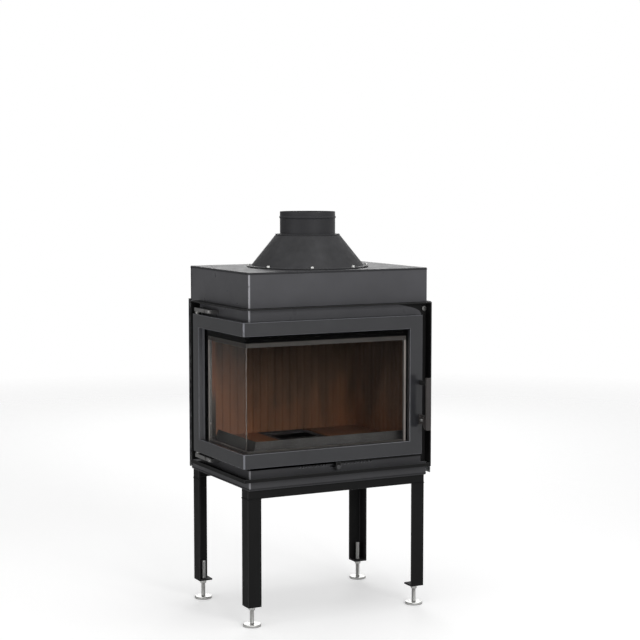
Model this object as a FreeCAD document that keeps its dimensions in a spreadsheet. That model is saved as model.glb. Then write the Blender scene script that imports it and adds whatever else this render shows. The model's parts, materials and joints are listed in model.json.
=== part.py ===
"""Corner fireplace insert with glass on the front and on the left, millimetres, +Z up.

Lengths in the functions below are read from the door's outer corner: X to the right along the front,
Y to the back along the left side, Z up from the floor. LEFT and FRONT then move everything so that
the origin lies on the floor, under the middle of the insert.
"""
import FreeCAD
import Part
import Sketcher
import os

SIZES = {
    # Fixed front frame
    "front_w": 580, "side_d": 361, "frame_h": 463.5, "stand_h": 405.5,
    "set_back": 30, "sheet_t": 4, "seal_lap": 26,
    "reveal_top": 35, "reveal_bottom": 38.5, "reveal_latch": 31, "reveal_hinge": 21,
    "flange_set": 2, "flange_t": 3, "flange_lip": 10,
    "gusset_t": 1.5, "gusset_l": 105, "gusset_drop": 15, "gusset_foot": 15, "gusset_turn": 17,
    "frame_bolt_in": 11, "frame_bolt_down": 19, "frame_bolt_r": 4, "frame_bolt_head_r": 7.5,
    "frame_bolt_head_h": 5, "socket_r": 3, "socket_depth": 3,
    # Casing
    "fire_d": 390, "case_drop": 24, "case_rise": 91, "plenum_h": 63, "base_t": 5,
    "shield_gap": 16, "shield_t": 1.5, "spacer_r": 6, "spacer_in": 60,
    # Smoke outlet and air inlet
    "dome_r": 160, "dome_rim": 12, "dome_h": 90, "dome_t": 4,
    "outlet_r": 75, "collar_t": 3, "collar_h": 66, "collar_rim": 16,
    "spigot_r": 50, "spigot_t": 3, "spigot_l": 60, "spigot_rim": 10, "spigot_from_back": 120,
    # Stand
    "rail_w": 40, "rail_h": 25, "rail_in": 10, "angle_t": 4, "leg_w": 40, "sole_t": 5, "sole_z": 55,
    "foot_r": 25, "foot_t": 8, "spindle_r": 6, "spindle_h": 110, "nut_r": 10, "nut_t": 10,
    "thread_clear": 0.3,
    # Firebox lining
    "slab_t": 22, "liner_t": 25, "liner_h": 365, "liner_front": 50,
    "baffle_t": 25, "smoke_slot": 76, "upper_gap": 40, "upper_t": 4, "upper_slot": 90,
    "ledge_w": 15, "ledge_h": 12,
    "guard_set": 54, "guard_lean": 11, "guard_h": 32, "guard_t": 3,
    "grate_w": 160, "grate_d": 320, "grate_t": 18, "grate_front": 70, "grate_gap": 1, "grate_ledge": 12,
    "grate_rim": 16, "grate_slot": 12, "grate_side": 20,
    "pan_clear": 6, "pan_h": 54, "pan_t": 1.5,
    # Air control
    "knob_x": 290, "knob_z": 20, "knob_r": 7, "knob_l": 16, "knob_set": 8, "stem_r": 3,
    "shutter_l": 230, "shutter_w": 16, "shutter_t": 2, "air_travel": 15, "slot_clear": 1,
    "guide_w": 5, "guide_lip": 3, "guide_t": 2,
    "vent_r": 2.5, "vent_pitch": 10, "vent_start": 30, "window_l": 60, "window_w": 8, "window_start": 36,
    # Hinges
    "hinge_x": 12, "hinge_in": 10, "hinge_gap": 7, "pin_r": 4, "pin_in": 22,
    "bush_t": 3, "bush_rim": 2, "bush_in": 24,
    "arm_t": 10, "arm_l": 112, "arm_set": 4, "arm_end": 8,
    "arm_bolt_r": 2.5, "arm_bolt_head_r": 4.5, "arm_bolt_head_h": 3, "arm_bolt_in": 10, "arm_bolt_pitch": 32,
    # Door
    "door_t": 25, "top_rail_h": 37, "bottom_rail_h": 38.5, "latch_stile_w": 40, "hinge_stile_w": 39,
    "rebate_w": 8, "rebate_set": 14, "glass_t": 4, "glass_gap": 1, "corner_gap": 0.4,
    "retainer_drop": 32, "retainer_rise": 4, "retainer_latch": 10, "retainer_hinge": 39,
    "gasket_w": 10, "gasket_in": 14,
    # Handle and latch
    "bar_r": 8, "bar_l": 145.5, "bar_up": 72.5, "reach": 41,
    "lug_t": 6.4, "lug_h": 40, "lug_back": 8, "lug_foot": 15,
    "pivot_up": 25, "pivot_out": 18, "shaft_r": 4, "cheek_t": 2, "cheek_h": 18, "cheek_front": 8,
    "plate_t": 3, "plate_over": 5, "standoff_r": 5, "standoff_down": 17,
    "latch_t": 4, "latch_h": 14, "latch_gap": 0.5, "latch_front": 8, "latch_end": 24,
    "peg_r": 4, "peg_l": 5, "peg_set": 18,
    "strike_t": 4, "strike_gap": 3.5, "strike_foot": 10, "strike_h": 12, "strike_reach": 18, "strike_hook": 6,
    # Fits
    "hole_clear": 0.2, "run_clear": 0.05, "press_clear": 0.02, "run_gap": 0.3,
}

GRATE_SLOTS = 11
VENTS_EACH_SIDE = 9
RIGHT_ANGLE = 90


class Size:
    """A length together with the sheet formula that gives it."""

    def __init__(self, formula, value):
        self.formula = formula
        self.value = value

    @staticmethod
    def of(other):
        """The number or length as a Size."""
        return other if isinstance(other, Size) else Size(str(other), other)

    def __add__(self, other):
        other = Size.of(other)
        return Size(f"({self.formula} + {other.formula})", self.value + other.value)

    def __sub__(self, other):
        other = Size.of(other)
        return Size(f"({self.formula} - {other.formula})", self.value - other.value)

    def __mul__(self, factor):
        factor = Size.of(factor)
        return Size(f"({self.formula} * {factor.formula})", self.value * factor.value)

    def __truediv__(self, divisor):
        divisor = Size.of(divisor)
        return Size(f"({self.formula} / {divisor.formula})", self.value / divisor.value)

    def __neg__(self):
        return Size.of(0) - self


doc = FreeCAD.newDocument("corner_insert")
sheet = doc.addObject("Spreadsheet::Sheet", "Sizes")
for row, (name, number) in enumerate(SIZES.items(), start=1):
    sheet.set(f"A{row}", name)
    sheet.set(f"B{row}", str(number))
    sheet.setAlias(f"B{row}", name)
doc.recompute()


class Sheet:
    """The driving lengths, each read as an attribute."""

    def __getattr__(self, alias):
        return Size(f"Sizes.{alias}", SIZES[alias])


d = Sheet()
ZERO = Size.of(0)

# Places that several pieces share
CASE = d.set_back
INSIDE = d.set_back + d.sheet_t
RIGHT = d.front_w - d.sheet_t
BACK = d.set_back + d.fire_d
FRAME_TOP = d.stand_h + d.frame_h
CASE_LOW = d.stand_h - d.case_drop
CASE_TOP = FRAME_TOP + d.case_rise
PLATE_LOW = CASE_LOW + d.plenum_h
HEARTH = PLATE_LOW + d.base_t
SLAB_TOP = HEARTH + d.slab_t
LINER_TOP = SLAB_TOP + d.liner_h
CENTRE_X = (CASE + d.front_w) / 2
CENTRE_Y = (CASE + BACK + d.sheet_t) / 2
DOOR_W = d.front_w - d.reveal_latch
DOOR_D = d.side_d - d.reveal_hinge
DOOR_LOW = d.stand_h + d.reveal_bottom
DOOR_TOP = FRAME_TOP - d.reveal_top
GLASS_LOW = DOOR_LOW + d.bottom_rail_h
GLASS_TOP = DOOR_TOP - d.top_rail_h
GLASS_X = DOOR_W - d.latch_stile_w
GLASS_Y = DOOR_D - d.hinge_stile_w
HINGE_Y = DOOR_D - d.hinge_in
DOME_LOW = CASE_TOP + d.sheet_t
DOME_TOP = DOME_LOW + d.dome_h
KNOB_Z = d.stand_h + d.knob_z
PIVOT_Z = DOOR_LOW + d.bar_up + d.pivot_up
BAR_X = DOOR_W - d.cheek_t - d.run_gap - d.lug_t / 2
REACH = d.reach + d.bar_r
LEFT = -((d.front_w + d.shield_gap + d.shield_t) / 2)
FRONT = -((BACK + d.sheet_t + d.shield_gap + d.shield_t - REACH) / 2)

nodes = {}


def bind(item, field, size):
    """Tie one field of an object to the sheet."""
    item.setExpression(field, Size.of(size).formula)


def place(item, x, y, z):
    """Put an object's own origin at a point read from the door's corner."""
    bind(item, "Placement.Base.x", LEFT + x)
    bind(item, "Placement.Base.y", FRONT + y)
    bind(item, "Placement.Base.z", z)


def keep(item, label):
    """Name a finished piece, which is then written to a file of that name."""
    item.Label = label
    nodes[label] = item
    return item


def box(xs, ys, zs):
    """A block between two X, two Y and two Z values."""
    item = doc.addObject("Part::Box", "Block")
    for field, (low, high) in zip(("Length", "Width", "Height"), (xs, ys, zs)):
        bind(item, field, Size.of(high) - Size.of(low))
    place(item, xs[0], ys[0], zs[0])
    return item


def rod(axis, radius, start, length):
    """A round bar from its start point along X, Y or Z."""
    item = doc.addObject("Part::Cylinder", "Rod")
    bind(item, "Radius", radius)
    bind(item, "Height", length)
    turns = {"X": ((0, 1, 0), RIGHT_ANGLE), "Y": ((1, 0, 0), -RIGHT_ANGLE), "Z": ((0, 0, 1), 0)}
    direction, angle = turns[axis]
    item.Placement = FreeCAD.Placement(FreeCAD.Vector(), FreeCAD.Rotation(FreeCAD.Vector(*direction), angle))
    place(item, *start)
    return item


def cut(base, *tools):
    """The base with every tool taken out of it."""
    for tool in tools:
        item = doc.addObject("Part::Cut", "Cut")
        item.Base = base
        item.Tool = tool
        base = item
    return base


def fuse(*pieces):
    """Several overlapping or touching shapes as one solid."""
    item = doc.addObject("Part::MultiFuse", "Fuse")
    item.Shapes = list(pieces)
    item.Refine = True
    return item


def group(*pieces):
    """Like pieces kept as separate solids in one node."""
    item = doc.addObject("Part::Compound", "Group")
    item.Links = list(pieces)
    return item


def outline(body, role, points, level=ZERO):
    """A closed sketch through points, on one of the body's own planes."""
    sketch = body.newObject("Sketcher::SketchObject", "Outline")
    plane = next(item for item in body.Origin.OriginFeatures if item.Role == role)
    sketch.AttachmentSupport = [(plane, "")]
    sketch.MapMode = "FlatFace"
    bind(sketch, "AttachmentOffset.Base.z", level)
    corners = [(Size.of(across), Size.of(up)) for across, up in points]
    count = len(corners)
    for index, (across, up) in enumerate(corners):
        next_across, next_up = corners[(index + 1) % count]
        first = FreeCAD.Vector(across.value, up.value, 0)
        last = FreeCAD.Vector(next_across.value, next_up.value, 0)
        sketch.addGeometry(Part.LineSegment(first, last))
    for index, corner in enumerate(corners):
        sketch.addConstraint(Sketcher.Constraint("Coincident", index, 2, (index + 1) % count, 1))
        for kind, size in zip(("DistanceX", "DistanceY"), corner):
            number = sketch.addConstraint(Sketcher.Constraint(kind, -1, 1, index, 1, size.value))
            bind(sketch, f"Constraints[{number}]", size)
    return sketch


def prism(role, points, length, origin, backwards=False):
    """A sketched outline padded square to its plane, with the body's origin at a given point."""
    body = doc.addObject("PartDesign::Body", "Body")
    pad = body.newObject("PartDesign::Pad", "Pad")
    pad.Profile = outline(body, role, points)
    pad.Reversed = backwards
    bind(pad, "Length", length)
    place(body, *origin)
    return body


def plan(points, zs):
    """A prism whose outline is seen from above."""
    return prism("XY_Plane", points, Size.of(zs[1]) - zs[0], (ZERO, ZERO, zs[0]))


def turned(points, x, y):
    """A solid turned about a vertical axis, from (radius, height) points."""
    body = doc.addObject("PartDesign::Body", "Body")
    turn = body.newObject("PartDesign::Revolution", "Turn")
    turn.Profile = outline(body, "XZ_Plane", points)
    axis = next(item for item in body.Origin.OriginFeatures if item.Role == "Z_Axis")
    turn.ReferenceAxis = (axis, [""])
    turn.Angle = 4 * RIGHT_ANGLE
    place(body, x, y, ZERO)
    return body


def corner_band(near, far, x_end, y_end):
    """Plan of an L that follows the front and the left side, between two depths."""
    return [(near, near), (x_end, near), (x_end, far), (far, far), (far, y_end), (near, y_end)]


def arm_bolts(z):
    """The X axis starts of the two bolts that hold a hinge arm."""
    first = HINGE_Y + d.arm_end - d.arm_l + d.arm_bolt_in
    return [(ZERO, first, z), (ZERO, first + d.arm_bolt_pitch, z)]


ARM_TOP_Z = DOOR_TOP + d.hinge_gap
ARM_LOW_Z = DOOR_LOW - d.hinge_gap - d.arm_t
ARM_LEVELS = (ARM_LOW_Z, ARM_TOP_Z)


def front_frame():
    """Header and sill sheets, jambs, the flange round them and the gusset at the header's end.

    The right jamb's post runs from the bottom flange to the top one, and the gusset is bolted to it.

    Returns the bolt that holds the gusset.
    """
    header_low = DOOR_TOP - d.seal_lap
    sill_top = DOOR_LOW + d.seal_lap
    front = [(CASE, CASE), (d.front_w, CASE), (d.front_w, INSIDE), (INSIDE, INSIDE)]
    side = [(CASE, CASE), (INSIDE, INSIDE), (INSIDE, BACK), (CASE, BACK)]
    lip_top = d.stand_h + d.flange_lip
    top_low = FRAME_TOP - d.flange_t
    end = d.front_w - d.flange_t
    foot_x = end - d.gusset_foot
    post = box((foot_x, d.front_w), (CASE, INSIDE), (lip_top, top_low))
    keep(cut(plan(front, (header_low, CASE_TOP)), post), "header_front")

    def arm_holes(arm_low):
        """Clearance holes for one hinge arm's bolts."""
        radius = d.arm_bolt_r + d.hole_clear
        return [rod("X", radius, start, INSIDE) for start in arm_bolts(arm_low + d.arm_t / 2)]

    keep(cut(plan(side, (header_low, CASE_TOP)), *arm_holes(ARM_TOP_Z)), "header_side")
    keep(cut(plan(side, (CASE_LOW, sill_top)), *arm_holes(ARM_LOW_Z)), "sill_side")

    slot_half = d.air_travel + d.stem_r + d.slot_clear
    slot_z = d.stem_r + d.slot_clear
    slot_xs = (d.knob_x - slot_half, d.knob_x + slot_half)
    openings = [box(slot_xs, (ZERO, INSIDE), (KNOB_Z - slot_z, KNOB_Z + slot_z))]
    for index in range(VENTS_EACH_SIDE):
        offset = d.vent_start + d.vent_pitch * index
        for vent_x in (d.knob_x - offset, d.knob_x + offset):
            openings.append(rod("Y", d.vent_r, (vent_x, ZERO, KNOB_Z), INSIDE))
    keep(cut(plan(front, (CASE_LOW, sill_top)), post, group(*openings)), "sill_front")

    between = (sill_top, header_low)
    jamb = fuse(post, box((DOOR_W - d.seal_lap, d.front_w), (CASE, INSIDE), between))
    bolt_x = d.front_w - d.frame_bolt_in
    bolt_z = FRAME_TOP - d.frame_bolt_down
    bolt_hole = rod("Y", d.frame_bolt_r + d.hole_clear, (bolt_x, ZERO, bolt_z), INSIDE)
    keep(cut(jamb, bolt_hole), "right_jamb")
    keep(box((CASE, INSIDE), (DOOR_D - d.seal_lap, BACK), between), "left_wall")

    rim = d.flange_set + d.flange_t
    trough = plan(corner_band(rim, CASE, d.front_w, d.side_d), (d.stand_h + d.flange_t, lip_top))
    ledge = plan(corner_band(d.flange_set, CASE, d.front_w, d.side_d), (d.stand_h, lip_top))
    keep(cut(ledge, trough), "flange_bottom")
    keep(plan(corner_band(d.flange_set, CASE, d.front_w, d.side_d), (top_low, FRAME_TOP)), "flange_top")
    upright = (lip_top, top_low)
    uprights = [box((end, d.front_w), (d.flange_set, CASE), upright),
                box((d.flange_set, CASE), (d.side_d - d.flange_t, d.side_d), upright)]
    keep(group(*uprights), "flange_sides")

    turn_z = top_low - d.gusset_drop
    gusset = [(foot_x, DOOR_TOP), (end, DOOR_TOP), (end, top_low), (end - d.gusset_l, top_low),
              (foot_x - d.gusset_turn, turn_z), (foot_x - d.gusset_turn / 3, turn_z - d.gusset_turn / 3)]
    gusset_face = CASE - d.gusset_t
    plate = prism("XZ_Plane", gusset, d.gusset_t, (ZERO, gusset_face, ZERO), backwards=True)
    keep(cut(plate, bolt_hole), "header_gusset")

    head_front = gusset_face - d.frame_bolt_head_h
    head = rod("Y", d.frame_bolt_head_r, (bolt_x, head_front, bolt_z), d.frame_bolt_head_h)
    shank = rod("Y", d.frame_bolt_r, (bolt_x, head_front, bolt_z), INSIDE - head_front)
    socket = rod("Y", d.socket_r, (bolt_x, head_front, bolt_z), d.socket_depth)
    return cut(fuse(head, shank), socket)


def casing():
    """Welded body sheets, the plate under the fire, and the two heat shields on their spacers."""
    height = (CASE_LOW, CASE_TOP)
    over_back = BACK + d.sheet_t
    keep(box((RIGHT, d.front_w), (INSIDE, BACK), height), "right_wall")
    keep(box((CASE, d.front_w), (BACK, over_back), height), "back_wall")
    under = CASE_LOW - d.sheet_t
    plate_xs = (CASE, d.front_w)
    plate_ys = (CASE, over_back)
    inlet = rod("Z", d.spigot_r - d.spigot_t, (CENTRE_X, BACK - d.spigot_from_back, under), d.sheet_t)
    keep(cut(box(plate_xs, plate_ys, (under, CASE_LOW)), inlet), "bottom_plate")
    outlet = rod("Z", d.dome_r - d.dome_rim, (CENTRE_X, CENTRE_Y, CASE_TOP), d.sheet_t)
    keep(cut(box(plate_xs, plate_ys, (CASE_TOP, DOME_LOW)), outlet), "top_plate")

    half = d.grate_w / 2 - d.grate_ledge
    ash_ys = (d.grate_front + d.grate_ledge, d.grate_front + d.grate_d - d.grate_ledge)
    ash_hole = box((CENTRE_X - half, CENTRE_X + half), ash_ys, (PLATE_LOW, HEARTH))
    keep(cut(box((INSIDE, RIGHT), (INSIDE, BACK), (PLATE_LOW, HEARTH)), ash_hole), "base_plate")

    shield_y = over_back + d.shield_gap
    shield_x = d.front_w + d.shield_gap
    shield_zs = (CASE_LOW, FRAME_TOP)
    keep(box((CASE, d.front_w), (shield_y, shield_y + d.shield_t), shield_zs), "rear_shield")
    keep(box((shield_x, shield_x + d.shield_t), (INSIDE, BACK), shield_zs), "right_shield")
    spacers = []
    for z in (CASE_LOW + d.spacer_in, FRAME_TOP - d.spacer_in):
        for x in (CASE + d.spacer_in, d.front_w - d.spacer_in):
            spacers.append(rod("Y", d.spacer_r, (x, over_back, z), d.shield_gap))
        for y in (INSIDE + d.spacer_in, BACK - d.spacer_in):
            spacers.append(rod("X", d.spacer_r, (d.front_w, y, z), d.shield_gap))
    keep(group(*spacers), "shield_spacers")


def smoke_and_air():
    """Smoke dome and flue collar on the top plate, and the air spigot under the bottom plate."""
    foot_r = d.dome_r + d.dome_rim
    neck_r = d.outlet_r + d.collar_rim
    roof = DOME_TOP - d.dome_t
    throat_r = d.outlet_r + d.collar_t
    foot_top = DOME_LOW + d.dome_t
    outer = [(foot_r, DOME_LOW), (foot_r, foot_top), (d.dome_r, foot_top), (neck_r, DOME_TOP)]
    inner = [(throat_r, DOME_TOP), (throat_r, roof), (neck_r - d.dome_t, roof)]
    inner.append((d.dome_r - d.dome_t, DOME_LOW))
    keep(turned(outer + inner, CENTRE_X, CENTRE_Y), "smoke_dome")

    rim_top = DOME_TOP + d.collar_t
    tube_top = DOME_TOP + d.collar_h
    collar = [(d.outlet_r, DOME_TOP), (neck_r, DOME_TOP), (neck_r, rim_top),
              (throat_r, rim_top), (throat_r, tube_top), (d.outlet_r, tube_top)]
    keep(turned(collar, CENTRE_X, CENTRE_Y), "flue_collar")

    under = CASE_LOW - d.sheet_t
    end = under - d.spigot_l
    rim_low = under - d.spigot_t
    inner_r = d.spigot_r - d.spigot_t
    rim_r = d.spigot_r + d.spigot_rim
    spigot = [(inner_r, end), (d.spigot_r, end), (d.spigot_r, rim_low),
              (rim_r, rim_low), (rim_r, under), (inner_r, under)]
    keep(turned(spigot, CENTRE_X, BACK - d.spigot_from_back), "air_spigot")


def stand():
    """Two angle rails with closed ends, four angle legs with sole plates, and the feet screwed into them."""
    rail_top = CASE_LOW - d.sheet_t
    rail_low = rail_top - d.rail_h
    fronts = {"front": CASE + d.rail_in, "rear": BACK + d.sheet_t - d.rail_in - d.rail_w}
    lefts = {"left": CASE, "right": d.front_w - d.leg_w}
    between_ends = (CASE + d.angle_t, d.front_w - d.angle_t)
    rails = []
    feet = []
    for end, y in fronts.items():
        bar = box((CASE, d.front_w), (y, y + d.rail_w), (rail_low, rail_top))
        inner_y = y + d.angle_t if end == "front" else y
        inner_ys = (inner_y, inner_y + d.rail_w - d.angle_t)
        trough = box(between_ends, inner_ys, (rail_low, rail_top - d.angle_t))
        rails.append(cut(bar, trough))
        for side, x in lefts.items():
            inner_x = x + d.angle_t if side == "left" else x
            inner_xs = (inner_x, inner_x + d.leg_w - d.angle_t)
            inner = box(inner_xs, inner_ys, (d.sole_z + d.sole_t, rail_low))
            middle = (x + d.leg_w / 2, y + d.rail_w / 2)
            hole = rod("Z", d.spindle_r + d.thread_clear, (*middle, d.sole_z), d.sole_t)
            post = box((x, x + d.leg_w), (y, y + d.rail_w), (d.sole_z, rail_low))
            keep(cut(post, inner, hole), f"leg_{end}_{side}")
            disc = rod("Z", d.foot_r, (*middle, ZERO), d.foot_t)
            spindle = rod("Z", d.spindle_r, (*middle, ZERO), d.spindle_h)
            nut = rod("Z", d.nut_r, (*middle, d.sole_z - d.nut_t), d.nut_t)
            feet.append(fuse(disc, spindle, nut))
    keep(group(*rails), "base_rails")
    keep(group(*feet), "levelling_feet")


def log_guard(side):
    """One leaning plate of the log guard, mitred where the two meet."""
    end_x = RIGHT - d.liner_t - d.run_gap
    end_y = DOOR_D - d.seal_lap - d.run_gap
    body = doc.addObject("PartDesign::Body", "Body")
    sketches = []
    for near, level in ((d.guard_set, ZERO), (d.guard_set + d.guard_lean, d.guard_h)):
        far = near + d.guard_t
        if side == "front":
            corners = [(near, near), (end_x, near), (end_x, far), (far, far)]
        else:
            corners = [(near, near), (far, far), (far, end_y), (near, end_y)]
        sketches.append(outline(body, "XY_Plane", corners, level))
    loft = body.newObject("PartDesign::AdditiveLoft", "Loft")
    loft.Profile = sketches[0]
    loft.Sections = [sketches[1]]
    loft.Ruled = True
    place(body, ZERO, ZERO, SLAB_TOP)
    keep(body, f"log_guard_{side}")


def firebox():
    """Hearth slabs, wall liners, baffles, log guard, grate and ash pan."""
    grate_low = CENTRE_X - d.grate_w / 2
    grate_high = CENTRE_X + d.grate_w / 2
    slabs = [box((INSIDE, grate_low - d.grate_gap), (INSIDE, BACK), (HEARTH, SLAB_TOP)),
             box((grate_high + d.grate_gap, RIGHT), (INSIDE, BACK), (HEARTH, SLAB_TOP))]
    keep(group(*slabs), "hearth_slabs")
    tall = (SLAB_TOP, LINER_TOP)
    liner_y = BACK - d.liner_t
    keep(box((INSIDE, RIGHT), (liner_y, BACK), tall), "liner_back")
    keep(box((RIGHT - d.liner_t, RIGHT), (d.liner_front, liner_y), tall), "liner_right")
    keep(box((INSIDE, INSIDE + d.liner_t), (DOOR_D - d.seal_lap, liner_y), tall), "liner_left")
    baffle_top = LINER_TOP + d.baffle_t
    keep(box((INSIDE, RIGHT), (INSIDE + d.smoke_slot, BACK), (LINER_TOP, baffle_top)), "lower_baffle")
    upper_z = baffle_top + d.upper_gap
    keep(box((INSIDE, RIGHT), (INSIDE, BACK - d.upper_slot), (upper_z, upper_z + d.upper_t)), "upper_baffle")
    ledge_zs = (upper_z - d.ledge_h, upper_z)
    ledges = [box((INSIDE, INSIDE + d.ledge_w), (INSIDE, BACK), ledge_zs),
              box((RIGHT - d.ledge_w, RIGHT), (INSIDE, BACK), ledge_zs)]
    keep(group(*ledges), "baffle_ledges")
    log_guard("front")
    log_guard("side")

    seat = HEARTH + d.run_gap
    bars = box((grate_low, grate_high), (d.grate_front, d.grate_front + d.grate_d), (seat, seat + d.grate_t))
    pitch = (d.grate_d - d.grate_rim) / GRATE_SLOTS
    slots = []
    for index in range(GRATE_SLOTS):
        start = d.grate_front + d.grate_rim + pitch * index
        across = (grate_low + d.grate_side, grate_high - d.grate_side)
        slots.append(box(across, (start, start + d.grate_slot), (seat, seat + d.grate_t)))
    keep(cut(bars, group(*slots)), "grate")

    inset = d.grate_ledge + d.pan_clear
    xs = (grate_low + inset, grate_high - inset)
    ys = (d.grate_front + inset, d.grate_front + d.grate_d - inset)
    pan_low = CASE_LOW + d.run_gap
    hollow_xs = (xs[0] + d.pan_t, xs[1] - d.pan_t)
    hollow_ys = (ys[0] + d.pan_t, ys[1] - d.pan_t)
    hollow = box(hollow_xs, hollow_ys, (pan_low + d.pan_t, pan_low + d.pan_h))
    keep(cut(box(xs, ys, (pan_low, pan_low + d.pan_h)), hollow), "ash_pan")


def air_control():
    """Shutter behind the sill, its two guides, the stem through the slot and the knob."""
    half = d.shutter_l / 2
    low = KNOB_Z - d.shutter_w / 2
    high = KNOB_Z + d.shutter_w / 2
    face = INSIDE + d.run_gap
    rear = face + d.shutter_t
    leaf = box((d.knob_x - half, d.knob_x + half), (face, rear), (low, high))
    window_zs = (KNOB_Z - d.window_w / 2, KNOB_Z + d.window_w / 2)
    window_far = d.window_start + d.window_l
    windows = [box((d.knob_x - window_far, d.knob_x - d.window_start), (face, rear), window_zs),
               box((d.knob_x + d.window_start, d.knob_x + window_far), (face, rear), window_zs)]
    stem_front = d.knob_set + d.knob_l / 2
    stem = rod("Y", d.stem_r, (d.knob_x, stem_front, KNOB_Z), rear - stem_front)
    keep(fuse(cut(leaf, *windows), stem), "air_shutter")
    knob = rod("Y", d.knob_r, (d.knob_x, d.knob_set, KNOB_Z), d.knob_l)
    bore = rod("Y", d.stem_r + d.press_clear, (d.knob_x, stem_front, KNOB_Z), d.knob_l)
    keep(cut(knob, bore), "air_knob")

    reach = half + d.air_travel
    xs = (d.knob_x - reach, d.knob_x + reach)
    groove = (INSIDE, rear + d.run_gap)
    guide_ys = (INSIDE, rear + d.run_gap + d.guide_t)
    lower = box(xs, guide_ys, (low - d.guide_w, low + d.guide_lip))
    upper = box(xs, guide_ys, (high - d.guide_lip, high + d.guide_w))
    guides = [cut(lower, box(xs, groove, (low - d.run_gap, low + d.guide_lip))),
              cut(upper, box(xs, groove, (high - d.guide_lip, high + d.run_gap)))]
    keep(group(*guides), "shutter_guides")


def hinges(gusset_bolt):
    """Bolted hinge arms on the side of the frame, with the pins the door turns on."""
    arm_end = HINGE_Y + d.arm_end
    pin_ends = {
        ARM_LOW_Z: (ARM_LOW_Z, DOOR_LOW + d.pin_in),
        ARM_TOP_Z: (DOOR_TOP - d.pin_in, ARM_TOP_Z + d.arm_t),
    }
    arms = []
    pins = []
    bolts = [gusset_bolt]
    for level in ARM_LEVELS:
        bar = box((d.arm_set, CASE), (arm_end - d.arm_l, arm_end), (level, level + d.arm_t))
        eye = rod("Z", d.pin_r + d.press_clear, (d.hinge_x, HINGE_Y, level), d.arm_t)
        holes = []
        for start in arm_bolts(level + d.arm_t / 2):
            _, bolt_y, bolt_z = start
            holes.append(rod("X", d.arm_bolt_r + d.hole_clear, start, CASE))
            head_x = d.arm_set - d.arm_bolt_head_h
            head = rod("X", d.arm_bolt_head_r, (head_x, bolt_y, bolt_z), d.arm_bolt_head_h)
            shank = rod("X", d.arm_bolt_r, (head_x, bolt_y, bolt_z), INSIDE - head_x)
            bolts.append(fuse(head, shank))
        arms.append(cut(bar, eye, *holes))
        low, high = pin_ends[level]
        pins.append(rod("Z", d.pin_r, (d.hinge_x, HINGE_Y, low), high - low))
    keep(group(*arms), "hinge_arms")
    keep(group(*pins), "hinge_pins")
    keep(group(*bolts), "frame_bolts")


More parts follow.
